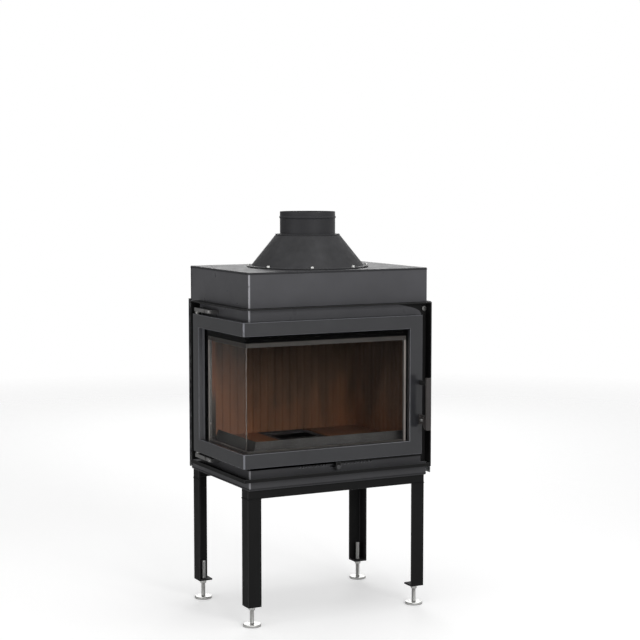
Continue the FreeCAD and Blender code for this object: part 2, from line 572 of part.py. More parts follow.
def door():
    """L-shaped door: rails, stiles, two panes, their retainers, the seal and the hinge bushes."""
    glass_x = GLASS_X + d.rebate_w
    glass_y = GLASS_Y + d.rebate_w
    rail = corner_band(ZERO, d.door_t, DOOR_W, DOOR_D)
    rebate = corner_band(d.rebate_set, d.door_t, glass_x, glass_y)
    bush_r = d.pin_r + d.run_clear + d.bush_t
    pocket_r = bush_r + d.press_clear
    top_rebate = (GLASS_TOP, GLASS_TOP + d.rebate_w)
    bottom_rebate = (GLASS_LOW - d.rebate_w, GLASS_LOW)
    rails = {
        "door_top_rail": ((GLASS_TOP, DOOR_TOP), top_rebate, DOOR_TOP - d.bush_in),
        "door_bottom_rail": ((DOOR_LOW, GLASS_LOW), bottom_rebate, DOOR_LOW),
    }
    for label, (zs, rebate_zs, pocket_z) in rails.items():
        pocket = rod("Z", pocket_r, (d.hinge_x, HINGE_Y, pocket_z), d.bush_in)
        keep(cut(plan(rail, zs), plan(rebate, rebate_zs), pocket), label)

    between = (GLASS_LOW, GLASS_TOP)
    behind = (d.rebate_set, d.door_t)
    latch = box((GLASS_X, DOOR_W), (ZERO, d.door_t), between)
    keep(cut(latch, box((GLASS_X, glass_x), behind, between)), "door_latch_stile")
    hinge = box((ZERO, d.door_t), (GLASS_Y, DOOR_D), between)
    keep(cut(hinge, box(behind, (GLASS_Y, glass_y), between)), "door_hinge_stile")

    pane = (d.rebate_set, d.rebate_set + d.glass_t)
    pane_zs = (GLASS_LOW - d.rebate_w + d.glass_gap, GLASS_TOP + d.rebate_w - d.glass_gap)
    pane_x = glass_x - d.glass_gap
    pane_y = glass_y - d.glass_gap
    keep(box((d.rebate_set, pane_x), pane, pane_zs), "front_glass")
    keep(box(pane, (pane[1] + d.corner_gap, pane_y), pane_zs), "side_glass")

    frame = corner_band(pane[1], d.door_t, pane_x, pane_y)
    top_low = GLASS_TOP - d.retainer_drop
    bottom_high = GLASS_LOW + d.retainer_rise
    keep(plan(frame, (top_low, pane_zs[1])), "glass_retainer_top")
    keep(plan(frame, (pane_zs[0], bottom_high)), "glass_retainer_bottom")
    upright = (bottom_high, top_low)
    depth = (pane[1], d.door_t)
    sides = [box((GLASS_X - d.retainer_latch, pane_x), depth, upright),
             box(depth, (GLASS_Y - d.retainer_hinge, pane_y), upright)]
    keep(group(*sides), "glass_retainer_sides")

    seal = CASE - d.run_gap
    seal_depth = (d.door_t, seal)
    seal_x = DOOR_W - d.gasket_in
    seal_y = DOOR_D - d.gasket_in
    seal_low = DOOR_LOW + d.gasket_in
    seal_high = DOOR_TOP - d.gasket_in
    loop = corner_band(d.door_t, seal, seal_x, seal_y)
    runs = [plan(loop, (seal_low, seal_low + d.gasket_w)),
            plan(loop, (seal_high - d.gasket_w, seal_high)),
            box((seal_x - d.gasket_w, seal_x), seal_depth, (seal_low, seal_high)),
            box(seal_depth, (seal_y - d.gasket_w, seal_y), (seal_low, seal_high))]
    keep(fuse(*runs), "door_gasket")

    rim_h = d.hinge_gap - d.run_gap
    bushes = []
    for low, rim_low in ((DOOR_TOP - d.bush_in, DOOR_TOP), (DOOR_LOW, DOOR_LOW - rim_h)):
        sleeve = rod("Z", bush_r, (d.hinge_x, HINGE_Y, low), d.bush_in)
        rim = rod("Z", bush_r + d.bush_rim, (d.hinge_x, HINGE_Y, rim_low), rim_h)
        length = d.bush_in + rim_h
        bore_low = low if rim_low.value > low.value else rim_low
        bore = rod("Z", d.pin_r + d.run_clear, (d.hinge_x, HINGE_Y, bore_low), length)
        bushes.append(cut(fuse(sleeve, rim), bore))
    keep(group(*bushes), "hinge_bushes")


def handle():
    """Tilting handle on its bracket, with the latch arm, its peg and the striker on the jamb."""
    pivot_y = -d.pivot_out
    cheek_low = PIVOT_Z - d.cheek_h / 2
    cheek_high = PIVOT_Z + d.cheek_h / 2
    cheek_ys = (pivot_y - d.cheek_front, -d.plate_t)
    lug_left = BAR_X - d.lug_t / 2
    inner_left = lug_left - d.run_gap
    inner_right = DOOR_W - d.cheek_t
    cheeks = [box((inner_left - d.cheek_t, inner_left), cheek_ys, (cheek_low, cheek_high)),
              box((inner_right, DOOR_W), cheek_ys, (cheek_low, cheek_high))]
    base_zs = (cheek_low - d.plate_over, cheek_high + d.plate_over)
    base = box((inner_left - d.cheek_t, DOOR_W), (-d.plate_t, ZERO), base_zs)
    shaft_x = inner_left - d.cheek_t - d.plate_over
    latch_x = DOOR_W + d.latch_gap
    latch_end = latch_x + d.latch_t
    eye = rod("X", d.shaft_r + d.run_clear, (shaft_x, pivot_y, PIVOT_Z), latch_end - shaft_x)
    keep(cut(fuse(base, *cheeks), eye), "handle_bracket")

    keep(rod("X", d.shaft_r, (shaft_x, pivot_y, PIVOT_Z), latch_end - shaft_x), "handle_shaft")
    bar_low = PIVOT_Z - d.pivot_up
    bar = rod("Z", d.bar_r, (BAR_X, -d.reach, bar_low), d.bar_l)
    tip_z = bar_low + d.bar_l - d.standoff_down
    tip = rod("Y", d.standoff_r, (BAR_X, -d.reach, tip_z), d.reach - d.run_gap)
    back = d.reach - d.pivot_out + d.lug_back
    lug = [(ZERO, bar_low), (d.lug_foot, bar_low), (back, PIVOT_Z - d.lug_back),
           (back, PIVOT_Z + d.lug_back), (ZERO, bar_low + d.lug_h)]
    wedge = prism("YZ_Plane", lug, d.lug_t, (lug_left, -d.reach, ZERO))
    press = d.shaft_r + d.press_clear
    keep(cut(fuse(bar, tip, wedge), rod("X", press, (lug_left, pivot_y, PIVOT_Z), d.lug_t)), "handle_bar")

    arm_zs = (PIVOT_Z - d.latch_h / 2, PIVOT_Z + d.latch_h / 2)
    arm = box((latch_x, latch_end), (pivot_y - d.latch_front, d.latch_end), arm_zs)
    peg = rod("X", d.peg_r, (latch_x, d.peg_set, PIVOT_Z), d.latch_t + d.peg_l)
    keep(fuse(cut(arm, rod("X", press, (latch_x, pivot_y, PIVOT_Z), d.latch_t)), peg), "latch_arm")

    web = latch_end + d.peg_l + d.strike_gap
    web_far = web + d.strike_t
    nose = CASE - d.strike_reach
    hook = nose - d.strike_hook
    foot_x = web_far + d.strike_foot
    foot_y = CASE - d.strike_t
    foot = [(web, CASE), (foot_x, CASE), (foot_x, foot_y), (web_far, foot_y)]
    hooked = [(web_far, nose - d.strike_t / 2), (web - d.strike_hook / 2, hook - d.strike_t / 2),
              (web - d.strike_hook, hook + d.strike_t / 4), (web, nose)]
    keep(plan(foot + hooked, (PIVOT_Z - d.strike_h / 2, PIVOT_Z + d.strike_h / 2)), "latch_striker")


def write():
    """Check every object, then write one file for each piece."""
    doc.recompute()
    for item in doc.Objects:
        if "Invalid" in item.State or "Error" in item.State:
            raise RuntimeError(f"{item.Label} failed: {item.State}")
    for label, item in nodes.items():
        if item.Shape.isNull() or not item.Shape.isValid() or not item.Shape.Solids:
            raise RuntimeError(f"{label} has no sound shape")
    os.makedirs("parts", exist_ok=True)
    for label, item in nodes.items():
        item.Shape.exportStep(f"parts/{label}.step")
        print(f"{label}: {len(item.Shape.Solids)} solids, {item.Shape.Volume:.0f} mm3")


gusset_bolt = front_frame()
casing()
smoke_and_air()
stand()
firebox()
air_control()
hinges(gusset_bolt)
door()
handle()
write()
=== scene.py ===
"""Looks of a corner fireplace insert, built round its solid model.

Everything is in metres in the model's own frame: X to the right along the front, Y to the back and Z up
from the floor. Places are read from the boxes of the solids, and sizes are written in millimetres.
"""

import json
import logging
import math
from collections.abc import Callable, Sequence
from dataclasses import dataclass, field
from enum import Enum

import bmesh
import bpy
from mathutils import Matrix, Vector
from mathutils.geometry import interpolate_bezier


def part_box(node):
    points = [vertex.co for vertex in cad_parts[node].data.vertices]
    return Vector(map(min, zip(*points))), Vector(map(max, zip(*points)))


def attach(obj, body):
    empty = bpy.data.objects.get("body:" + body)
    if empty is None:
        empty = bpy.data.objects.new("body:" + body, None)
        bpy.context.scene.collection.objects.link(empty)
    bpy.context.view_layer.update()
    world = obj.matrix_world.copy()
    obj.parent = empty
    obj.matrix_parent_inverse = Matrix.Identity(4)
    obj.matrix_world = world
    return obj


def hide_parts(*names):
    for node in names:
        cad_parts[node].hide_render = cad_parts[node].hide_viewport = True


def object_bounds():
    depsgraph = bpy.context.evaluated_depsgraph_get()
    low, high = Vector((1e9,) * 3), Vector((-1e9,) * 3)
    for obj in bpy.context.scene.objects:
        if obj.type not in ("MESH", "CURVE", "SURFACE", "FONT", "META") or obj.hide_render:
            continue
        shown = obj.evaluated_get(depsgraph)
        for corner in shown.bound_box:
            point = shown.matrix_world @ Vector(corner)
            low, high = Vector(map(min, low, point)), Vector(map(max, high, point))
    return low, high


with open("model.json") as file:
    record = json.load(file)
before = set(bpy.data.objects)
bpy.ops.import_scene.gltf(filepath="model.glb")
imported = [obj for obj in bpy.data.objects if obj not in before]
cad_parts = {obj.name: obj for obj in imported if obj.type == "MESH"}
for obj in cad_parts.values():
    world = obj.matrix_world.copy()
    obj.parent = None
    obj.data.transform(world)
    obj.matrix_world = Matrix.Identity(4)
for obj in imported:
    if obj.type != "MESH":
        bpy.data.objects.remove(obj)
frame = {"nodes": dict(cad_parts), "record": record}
CAD_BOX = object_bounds()

LOG = logging.getLogger("corner_insert")
MM = 0.001
RIGHT, BACK, UP = Vector((1, 0, 0)), Vector((0, 1, 0)), Vector((0, 0, 1))

Colour = tuple[float, float, float]
Socket = bpy.types.NodeSocket


class Section(Enum):
    """The outline of a turned ring, seen along its axis."""

    ROUND = 0
    HEX = 6
    FLUTED = 24

    def share(self, angle: float) -> float:
        """Radius at an angle as a share of the widest radius.

        Args:
            angle: The angle round the axis, in radians.

        Returns:
            A number above 0 and at most 1.
        """
        if self is Section.HEX:
            sixth = math.tau / self.value
            return math.cos(sixth / 2) / math.cos(angle % sixth - sixth / 2)
        if self is Section.FLUTED:
            depth = 0.07
            return 1 - depth * (0.5 + 0.5 * math.cos(self.value * angle))
        return 1.0


class Edge(Enum):
    """The side of a frame that a point of its profile is measured from."""

    OUTER = "outer"
    INNER = "inner"


@dataclass(frozen=True)
class Ring:
    """One ring of a turned piece, in millimetres or in shares of the whole piece."""

    radius: float
    height: float
    section: Section = Section.ROUND

    def scaled(self, radius: float, height: float) -> "Ring":
        """The ring in millimetres, from shares of a piece of this radius and height."""
        return Ring(self.radius * radius, self.height * height, self.section)


class Head(Enum):
    """Kinds of screw head, each as rings in shares of its radius and height."""

    SOCKET = (
        Ring(1.0, 0.0),
        Ring(1.0, 0.7),
        Ring(0.95, 0.9),
        Ring(0.84, 1.0),
        Ring(0.5, 1.0, Section.HEX),
        Ring(0.5, 0.35, Section.HEX),
    )
    HEX = (
        Ring(1.2, 0.0),
        Ring(1.2, 0.2),
        Ring(1.0, 0.2, Section.HEX),
        Ring(1.0, 0.88, Section.HEX),
        Ring(0.82, 1.0),
    )
    PAN = (
        Ring(1.0, 0.0),
        Ring(1.0, 0.35),
        Ring(0.9, 0.7),
        Ring(0.7, 0.93),
        Ring(0.5, 1.0, Section.HEX),
        Ring(0.5, 0.5, Section.HEX),
    )


class ShaderTree:
    """A material's nodes, with short ways to add what the finishes share."""

    def __init__(self, name: str) -> None:
        """Start a material with its one main shader.

        Args:
            name: The material's name.
        """
        self.material = bpy.data.materials.new(name)
        self.material.use_nodes = True
        self.tree = self.material.node_tree
        self.shader = self.tree.nodes["Principled BSDF"]
        self.output = self.tree.nodes["Material Output"]
        self.place = self.tree.nodes.new("ShaderNodeTexCoord").outputs["Object"]

    def plain(self, **values: float | Colour) -> None:
        """Set values that are the same all over the surface.

        Args:
            values: Numbers or colours by socket name, with underscores for spaces.
        """
        for name, value in values.items():
            socket = self.shader.inputs[name.replace("_", " ")]
            socket.default_value = (*value, 1.0) if isinstance(value, tuple) else value

    def link(self, source: Socket, name: str) -> None:
        """Let a varying value drive one of the main shader's sockets."""
        self.tree.links.new(source, self.shader.inputs[name])

    def stretched(self, stretch: Colour) -> Socket:
        """The surface's own coordinates, squeezed along each axis.

        Args:
            stretch: How many times finer a pattern is along X, Y and Z.

        Returns:
            The socket of the new coordinates.
        """
        mapping = self.tree.nodes.new("ShaderNodeMapping")
        mapping.inputs["Scale"].default_value = stretch
        self.tree.links.new(self.place, mapping.inputs["Vector"])
        return mapping.outputs["Vector"]

    def noise(self, scale: float, detail: float = 3.0, stretch: Colour = (1.0, 1.0, 1.0)) -> Socket:
        """Cloudy variation from 0 to 1.

        Args:
            scale: Clouds per metre.
            detail: How many finer layers it has.
            stretch: How many times finer it is along X, Y and Z.

        Returns:
            The socket of its value.
        """
        node = self.tree.nodes.new("ShaderNodeTexNoise")
        node.inputs["Scale"].default_value = scale
        node.inputs["Detail"].default_value = detail
        self.tree.links.new(self.stretched(stretch), node.inputs["Vector"])
        return node.outputs["Fac"]

    def cells(self, scale: float, output: str = "Distance") -> Socket:
        """Irregular cells, such as zinc crystals or pits.

        Args:
            scale: Cells per metre.
            output: The name of the value wanted.

        Returns:
            The socket of that value.
        """
        node = self.tree.nodes.new("ShaderNodeTexVoronoi")
        node.inputs["Scale"].default_value = scale
        self.tree.links.new(self.place, node.inputs["Vector"])
        return node.outputs[output]

    def ramp(self, value: Socket, stops: Sequence[tuple[float, Colour]]) -> Socket:
        """A colour that changes with a value.

        Args:
            value: What it follows.
            stops: Positions from 0 to 1 with their colours.

        Returns:
            The socket of the colour.
        """
        node = self.tree.nodes.new("ShaderNodeValToRGB")
        elements = node.color_ramp.elements
        for _ in stops[2:]:
            elements.new(1.0)
        for element, (position, colour) in zip(elements, stops):
            element.position = position
            element.color = (*colour, 1.0)
        self.tree.links.new(value, node.inputs["Fac"])
        return node.outputs["Color"]

    def span(self, value: Socket, low: float, high: float, start: float = 0.3, end: float = 0.7) -> Socket:
        """A value carried to another range.

        Args:
            value: What it follows.
            low: The result at start.
            high: The result at end.
            start: The value that gives low.
            end: The value that gives high.

        Returns:
            The socket of the result.
        """
        node = self.tree.nodes.new("ShaderNodeMapRange")
        for name, number in zip(("From Min", "From Max", "To Min", "To Max"), (start, end, low, high)):
            node.inputs[name].default_value = number
        self.tree.links.new(value, node.inputs["Value"])
        return node.outputs["Result"]

    def math(self, kind: str, first: Socket, second: Socket) -> Socket:
        """Two values joined by one sum.

        Args:
            kind: The sum's name, such as ADD.
            first: The first value.
            second: The second value.

        Returns:
            The socket of the result.
        """
        node = self.tree.nodes.new("ShaderNodeMath")
        node.operation = kind
        self.tree.links.new(first, node.inputs[0])
        self.tree.links.new(second, node.inputs[1])
        return node.outputs["Value"]

    def along(self, axis: str) -> Socket:
        """The surface's own place along one axis.

        Args:
            axis: X, Y or Z.

        Returns:
            The socket of the place, in metres.
        """
        node = self.tree.nodes.new("ShaderNodeSeparateXYZ")
        self.tree.links.new(self.place, node.inputs["Vector"])
        return node.outputs[axis]

    def relief(self, layers: Sequence[tuple[Socket, float]], strength: float = 1.0) -> None:
        """Raise the surface by several layers of fine relief.

        Args:
            layers: Values with the depth of each, in millimetres.
            strength: How much of it shows.
        """
        normal = None
        for value, depth in layers:
            node = self.tree.nodes.new("ShaderNodeBump")
            node.inputs["Strength"].default_value = strength
            node.inputs["Distance"].default_value = depth * MM
            self.tree.links.new(value, node.inputs["Height"])
            if normal is not None:
                self.tree.links.new(normal, node.inputs["Normal"])
            normal = node.outputs["Normal"]
        self.link(normal, "Normal")

    def paint(self, value: Socket, stops: Sequence[tuple[float, Colour]]) -> None:
        """Let the colour of the surface follow a value."""
        self.link(self.ramp(value, stops), "Base Color")

    def polish(self, scale: float, roughness: float, smoother: float, rougher: float) -> None:
        """Let the roughness vary in clouds.

        Args:
            scale: Clouds per metre.
            roughness: The usual roughness.
            smoother: How far it falls below that.
            rougher: How far it rises above that.
        """
        self.link(self.span(self.noise(scale), roughness - smoother, roughness + rougher), "Roughness")

    def ray(self, kind: str) -> Socket:
        """Whether light of one kind looks at the surface, as 0 or 1."""
        return self.tree.nodes.new("ShaderNodeLightPath").outputs[kind]

    def clear(self, share: Socket, tint: Colour = (1.0, 1.0, 1.0)) -> None:
        """Let the surface turn clear.

        Args:
            share: How clear it is, from 0 to 1.
            tint: The colour of the light that comes through.
        """
        through = self.tree.nodes.new("ShaderNodeBsdfTransparent")
        through.inputs["Color"].default_value = (*tint, 1.0)
        either = self.tree.nodes.new("ShaderNodeMixShader")
        self.tree.links.new(share, either.inputs["Fac"])
        self.tree.links.new(self.shader.outputs["BSDF"], either.inputs[1])
        self.tree.links.new(through.outputs["BSDF"], either.inputs[2])
        self.tree.links.new(either.outputs["Shader"], self.output.inputs["Surface"])


def shaded(colour: Colour, share: float) -> Colour:
    """A colour made darker or lighter.

    Args:
        colour: The colour to change.
        share: What it is multiplied by.

    Returns:
        The new colour.
    """
    return tuple(min(1.0, channel * share) for channel in colour)


def shared_material(name: str, fill: Callable[[ShaderTree], None]) -> bpy.types.Material:
    """A material that is made at its first use.

    Args:
        name: Its name.
        fill: What fills in its nodes.

    Returns:
        The material.
    """
    if name not in bpy.data.materials:
        fill(ShaderTree(name))
    return bpy.data.materials[name]


@dataclass(frozen=True)
class Finish:
    """A surface finish, whose material is made once and then shared."""

    name: str
    colour: Colour
    roughness: float

    def material(self) -> bpy.types.Material:
        """The finish's material."""
        return shared_material(self.name, self.mix)

    def edge(self) -> bpy.types.Material:
        """The material of softened edges, which is the same unless a finish pales them with wear and a
        painted highlight.
        """
        return self.material()

    def mix(self, tree: ShaderTree) -> None:
        """Fill in the finish's nodes."""
        raise NotImplementedError


@dataclass(frozen=True)
class StovePaint(Finish):
    """Sprayed heat-proof paint with a fine grain, paler along its edges with wear and a painted highlight."""

    gloss: float = 0.3
    # How many times paler the edges are: wear together with a painted highlight.
    wear_and_highlight: float = 1.6

    def mix(self, tree: ShaderTree) -> None:
        """Fill in cloudy colour, an uneven sheen and the grain of the spray.

        Args:
            tree: The material's nodes.
        """
        tree.paint(tree.noise(7.0, 4.0), ((0.3, shaded(self.colour, 0.9)), (0.7, shaded(self.colour, 1.1))))
        tree.polish(26.0, self.roughness, 0.05, 0.06)
        tree.plain(Specular_IOR_Level=self.gloss, Metallic=0.0)
        tree.relief(((tree.noise(1300.0, 2.0), 0.02), (tree.noise(240.0, 2.0), 0.02)), 0.1)

    def edge(self) -> bpy.types.Material:
        """Paint worn thin along the edges, made paler there as a painted highlight too."""
        return shared_material(self.name + "_worn_highlit_edge", self.mix_edge)

    def mix_edge(self, tree: ShaderTree) -> None:
        """Fill in the paler edge paint, patchy along the edge: worn paint with a painted highlight.

        Args:
            tree: The material's nodes.
        """
        tree.paint(tree.noise(90.0), ((0.15, self.colour), (0.45, shaded(self.colour, self.wear_and_highlight))))
        tree.polish(40.0, self.roughness, 0.1, 0.0)
        tree.plain(Specular_IOR_Level=0.4, Metallic=0.0)
        tree.relief(((tree.noise(900.0, 2.0), 0.03),), 0.3)


@dataclass(frozen=True)
class CastIron(Finish):
    """Sand-cast iron with a pitted skin, darkened by heat."""

    def mix(self, tree: ShaderTree) -> None:
        """Fill in blotches of heat, a sandy skin and pits.

        Args:
            tree: The material's nodes.
        """
        stops = ((0.25, shaded(self.colour, 0.75)), (0.55, self.colour), (0.8, shaded(self.colour, 1.3)))
        tree.paint(tree.noise(18.0, 5.0), stops)
        tree.polish(60.0, self.roughness, 0.1, 0.1)
        tree.plain(Specular_IOR_Level=0.1, Metallic=0.0)
        pits = tree.span(tree.cells(320.0), 0.0, 1.0, 0.05, 0.35)
        tree.relief(((tree.noise(650.0, 3.0), 0.22), (pits, 0.12)), 0.6)


@dataclass(frozen=True)
class Fireclay(Finish):
    """Fired clay with a sandy grain and clouds of smoke, its darkness changing with height, and paler at its
    left as painted firelight.
    """

    clean: Colour
    # Heights in millimetres where the clay is palest and darkest.
    pale_height: float
    dark_height: float
    # Where the painted firelight is strongest and where it ends along X, in millimetres.
    firelight_left: float = -260.0
    firelight_right: float = -20.0

    def mix(self, tree: ShaderTree) -> None:
        """Fill in the clay, the smoke, the darkening with height, the painted firelight at the left and the
        grain.

        Args:
            tree: The material's nodes.
        """
        streaks = tree.span(tree.noise(34.0, 3.0, (1.0, 1.0, 0.09)), 0.0, 0.3, 0.0, 1.0)
        clouds = tree.span(tree.noise(7.0, 3.0, (1.0, 1.0, 0.5)), 0.0, 0.7, 0.0, 1.0)
        # Darkening with height: soot towards the top on most liners, painted shade towards the bottom on the
        # left liner.
        soot_and_shade_by_height = tree.span(tree.along("Z"), -0.3, 0.38, self.pale_height * MM, self.dark_height * MM)
        # Paler towards the left: painted firelight.
        painted_firelight = tree.span(tree.along("X"), -0.42, 0.0, self.firelight_left * MM, self.firelight_right * MM)
        # The sum holds smoke and soot together with the painted firelight and painted shade.
        smoke = streaks
        for layer in (clouds, soot_and_shade_by_height, painted_firelight):
            smoke = tree.math("ADD", smoke, layer)
        stops = (
            (0.05, self.clean),
            (0.4, self.colour),
            (0.62, shaded(self.colour, 0.42)),
            (0.9, shaded(self.colour, 0.16)),
        )
        tree.paint(smoke, stops)
        tree.polish(30.0, self.roughness, 0.08, 0.05)
        tree.plain(Specular_IOR_Level=0.18)
        pits = tree.span(tree.cells(210.0), 0.0, 1.0, 0.03, 0.22)
        tree.relief(((tree.noise(420.0, 5.0), 0.5), (pits, 0.4)), 0.6)


@dataclass(frozen=True)
class PlatedSteel(Finish):
    """Zinc-plated or galvanised steel with crystals of zinc that catch the light."""

    crystals: float
    contrast: float = 0.12

    def mix(self, tree: ShaderTree) -> None:
        """Fill in the crystals, dull patches and fine drawing lines.

        Args:
            tree: The material's nodes.
        """
        crystal = tree.cells(self.crystals, "Color")
        low, high = shaded(self.colour, 1 - self.contrast), shaded(self.colour, 1 + self.contrast)
        tree.paint(crystal, ((0.25, low), (0.75, high)))
        dull = tree.math("MULTIPLY", tree.noise(14.0, 4.0), crystal)
        tree.link(tree.span(dull, self.roughness - 0.08, self.roughness + 0.14, 0.1, 0.45), "Roughness")
        tree.plain(Metallic=1.0)
        tree.relief(((tree.noise(500.0, 2.0, (1.0, 1.0, 0.1)), 0.02),), 0.3)


@dataclass(frozen=True)
class CeramicGlass(Finish):
    """Clear heat-proof glass, faintly smoky, that lets lamps through."""

    bend: float = 1.08

    def mix(self, tree: ShaderTree) -> None:
        """Fill in the glass with a trace of smoke, and the plain clear pane that lamplight sees.

        Args:
            tree: The material's nodes.
        """
        tree.plain(Transmission_Weight=1.0, IOR=self.bend, Roughness=self.roughness)
        tree.paint(tree.noise(4.0), ((0.3, self.colour), (0.75, shaded(self.colour, 0.95))))
        tree.clear(tree.math("MAXIMUM", tree.ray("Is Shadow Ray"), tree.ray("Is Diffuse Ray")), self.colour)


@dataclass(frozen=True)
class EnamelPrint(Finish):
    """Black enamel fired onto the back of a pane."""

    def mix(self, tree: ShaderTree) -> None:
        """Fill in a faint screen texture.

        Args:
            tree: The material's nodes.
        """
        tree.paint(tree.noise(120.0), ((0.3, shaded(self.colour, 0.7)), (0.7, self.colour)))
        tree.polish(60.0, self.roughness, 0.05, 0.1)
        tree.plain(Specular_IOR_Level=0.0)
        tree.relief(((tree.cells(1400.0), 0.01),), 0.3)


@dataclass(frozen=True)
class BraidedFibre(Finish):
    """Knitted glass-fibre rope."""

    def mix(self, tree: ShaderTree) -> None:
        """Fill in the knit and loose fibres.

        Args:
            tree: The material's nodes.
        """
        stops = ((0.25, shaded(self.colour, 0.55)), (0.75, shaded(self.colour, 1.5)))
        tree.paint(tree.noise(420.0, 4.0), stops)
        tree.polish(200.0, self.roughness, 0.05, 0.05)
        tree.plain(Specular_IOR_Level=0.15, Sheen_Weight=0.3, Sheen_Roughness=0.5)
        tree.relief(((tree.cells(520.0), 0.6), (tree.noise(1500.0), 0.15)), 0.8)


@dataclass(frozen=True)
class BareMetal(Finish):
    """Turned or rolled metal, tinted here and there by heat."""

    tint: Colour
    metallic: float = 1.0

    def mix(self, tree: ShaderTree) -> None:
        """Fill in the tint, drawing lines and an uneven polish.

        Args:
            tree: The material's nodes.
        """
        tree.paint(tree.noise(22.0, 4.0), ((0.35, self.colour), (0.75, self.tint)))
        tree.polish(45.0, self.roughness, 0.07, 0.1)
        tree.plain(Metallic=self.metallic, Specular_IOR_Level=0.4)
        tree.relief(((tree.noise(700.0, 2.0), 0.03),), 0.3)


# The last number of each paint is how much paler its edges are; the door's is high, mostly a painted
# highlight on its corners and edges.
DOOR_PAINT = StovePaint("satin_anthracite", (0.02, 0.0205, 0.023), 0.2, 0.42, 7.0)
# The header and the sill take paler copies of the door's anthracite: painted light on these recessed sheets.
FRAME_PAINT = StovePaint("satin_anthracite_frame", (0.067, 0.067, 0.072), 0.32, 0.12, 4.0)
SILL_PAINT = StovePaint("satin_anthracite_sill", (0.05, 0.05, 0.053), 0.34, 0.1, 4.0)
BLACK_PAINT = StovePaint("matt_black", (0.006, 0.006, 0.0061), 0.62, 0.1, 1.5)
CASING_PAINT = StovePaint("matt_casing_paint", (0.022, 0.022, 0.024), 0.58, 0.2, 1.7)
IRON = CastIron("heat_dark_cast_iron", (0.041, 0.041, 0.043), 0.6)
# The log guard's front and side take a lighter and a darker copy of the cast iron: painted light on its
# front, painted shade on its side.
GUARD_LIT_IRON = CastIron("guard_lit_cast_iron", (0.056, 0.056, 0.058), 0.6)
GUARD_SHADED_IRON = CastIron("guard_shaded_cast_iron", (0.02, 0.02, 0.0205), 0.66)
GALVANISED = PlatedSteel("galvanised_sheet", (0.44, 0.45, 0.46), 0.38, 110.0, 0.08)
ZINC = PlatedSteel("zinc_plate", (0.46, 0.46, 0.45), 0.36, 400.0, 0.05)
BRIGHT_STEEL = BareMetal("oiled_bright_steel", (0.15, 0.15, 0.148), 0.36, (0.11, 0.108, 0.104))
TRIM = BareMetal("tinted_trim_steel", (0.046, 0.0445, 0.0445), 0.38, (0.056, 0.052, 0.05), 0.0)
# Pale warm steel for the pane edge strips: partly a polished trim, partly a painted highlight of the lit pane
# edges.
EDGE_TRIM = BareMetal("polished_trim_steel", (0.2, 0.185, 0.178), 0.34, (0.24, 0.22, 0.21), 0.2)
# Most liners darken with soot towards the top and are paler towards the left, painted firelight.
LINING = Fireclay("smoked_firelit_fireclay", (0.075, 0.044, 0.029), 0.86, (0.2, 0.088, 0.046), 475.0, 840.0)
# The left liner darkens towards its bottom instead, painted shade, over its smoke clouds.
SOOTY_SHADED_LINING = Fireclay(
    "sooty_shaded_fireclay", (0.062, 0.05, 0.044), 0.88, (0.22, 0.085, 0.042),
    pale_height=640.0, dark_height=500.0, firelight_left=-900.0, firelight_right=-800.0,
)
GLASS = CeramicGlass("clear_ceramic_glass", (0.97, 0.96, 0.94), 0.08)
PRINT = EnamelPrint("black_enamel", (0.0025, 0.0025, 0.0027), 0.3)
ROPE = BraidedFibre("glass_fibre_rope", (0.05, 0.05, 0.052), 0.9)
ARM_STEEL = BareMetal("dark_rolled_steel", (0.14, 0.14, 0.142), 0.42, (0.165, 0.162, 0.158), 0.6)
# A paler copy of the door paint for the hinge stile's bead: painted light on the shaded reveal.
BEAD_PAINT = StovePaint("satin_bead_paint", (0.085, 0.086, 0.092), 0.36, 0.08, 1.5)
RUBBER = StovePaint("black_rubber", (0.014, 0.014, 0.014), 0.7, 0.08, 1.2)
KNOB_PAINT = StovePaint("satin_knob_paint", (0.045, 0.045, 0.047), 0.34, 0.2, 2.0)
# A paler, warmer copy of the door paint for the handle bar and bracket: painted light on them.
HANDLE_PAINT = StovePaint("handle_paint", (0.046, 0.0425, 0.0415), 0.34, 0.14, 2.0)

FINISHES: dict[str, Finish] = {
    "door_paint": DOOR_PAINT,
    "frame_paint": FRAME_PAINT,
    "black_paint": BLACK_PAINT,
    "casing_steel": CASING_PAINT,
    "cast_iron": IRON,
    "galvanised": GALVANISED,
    "zinc": ZINC,
    "bright_steel": BRIGHT_STEEL,
    "trim_steel": TRIM,
    "fireclay": LINING,
    "glass": GLASS,
    "rope_seal": ROPE,
}
SLOT_OF: dict[str, str] = {row["node"]: row["material_slot"] for row in frame["record"]["subparts"]}
BODY_OF: dict[str, str] = {
    node: body for body, nodes in frame["record"]["behaviour"]["bodies"].items() for node in nodes
}


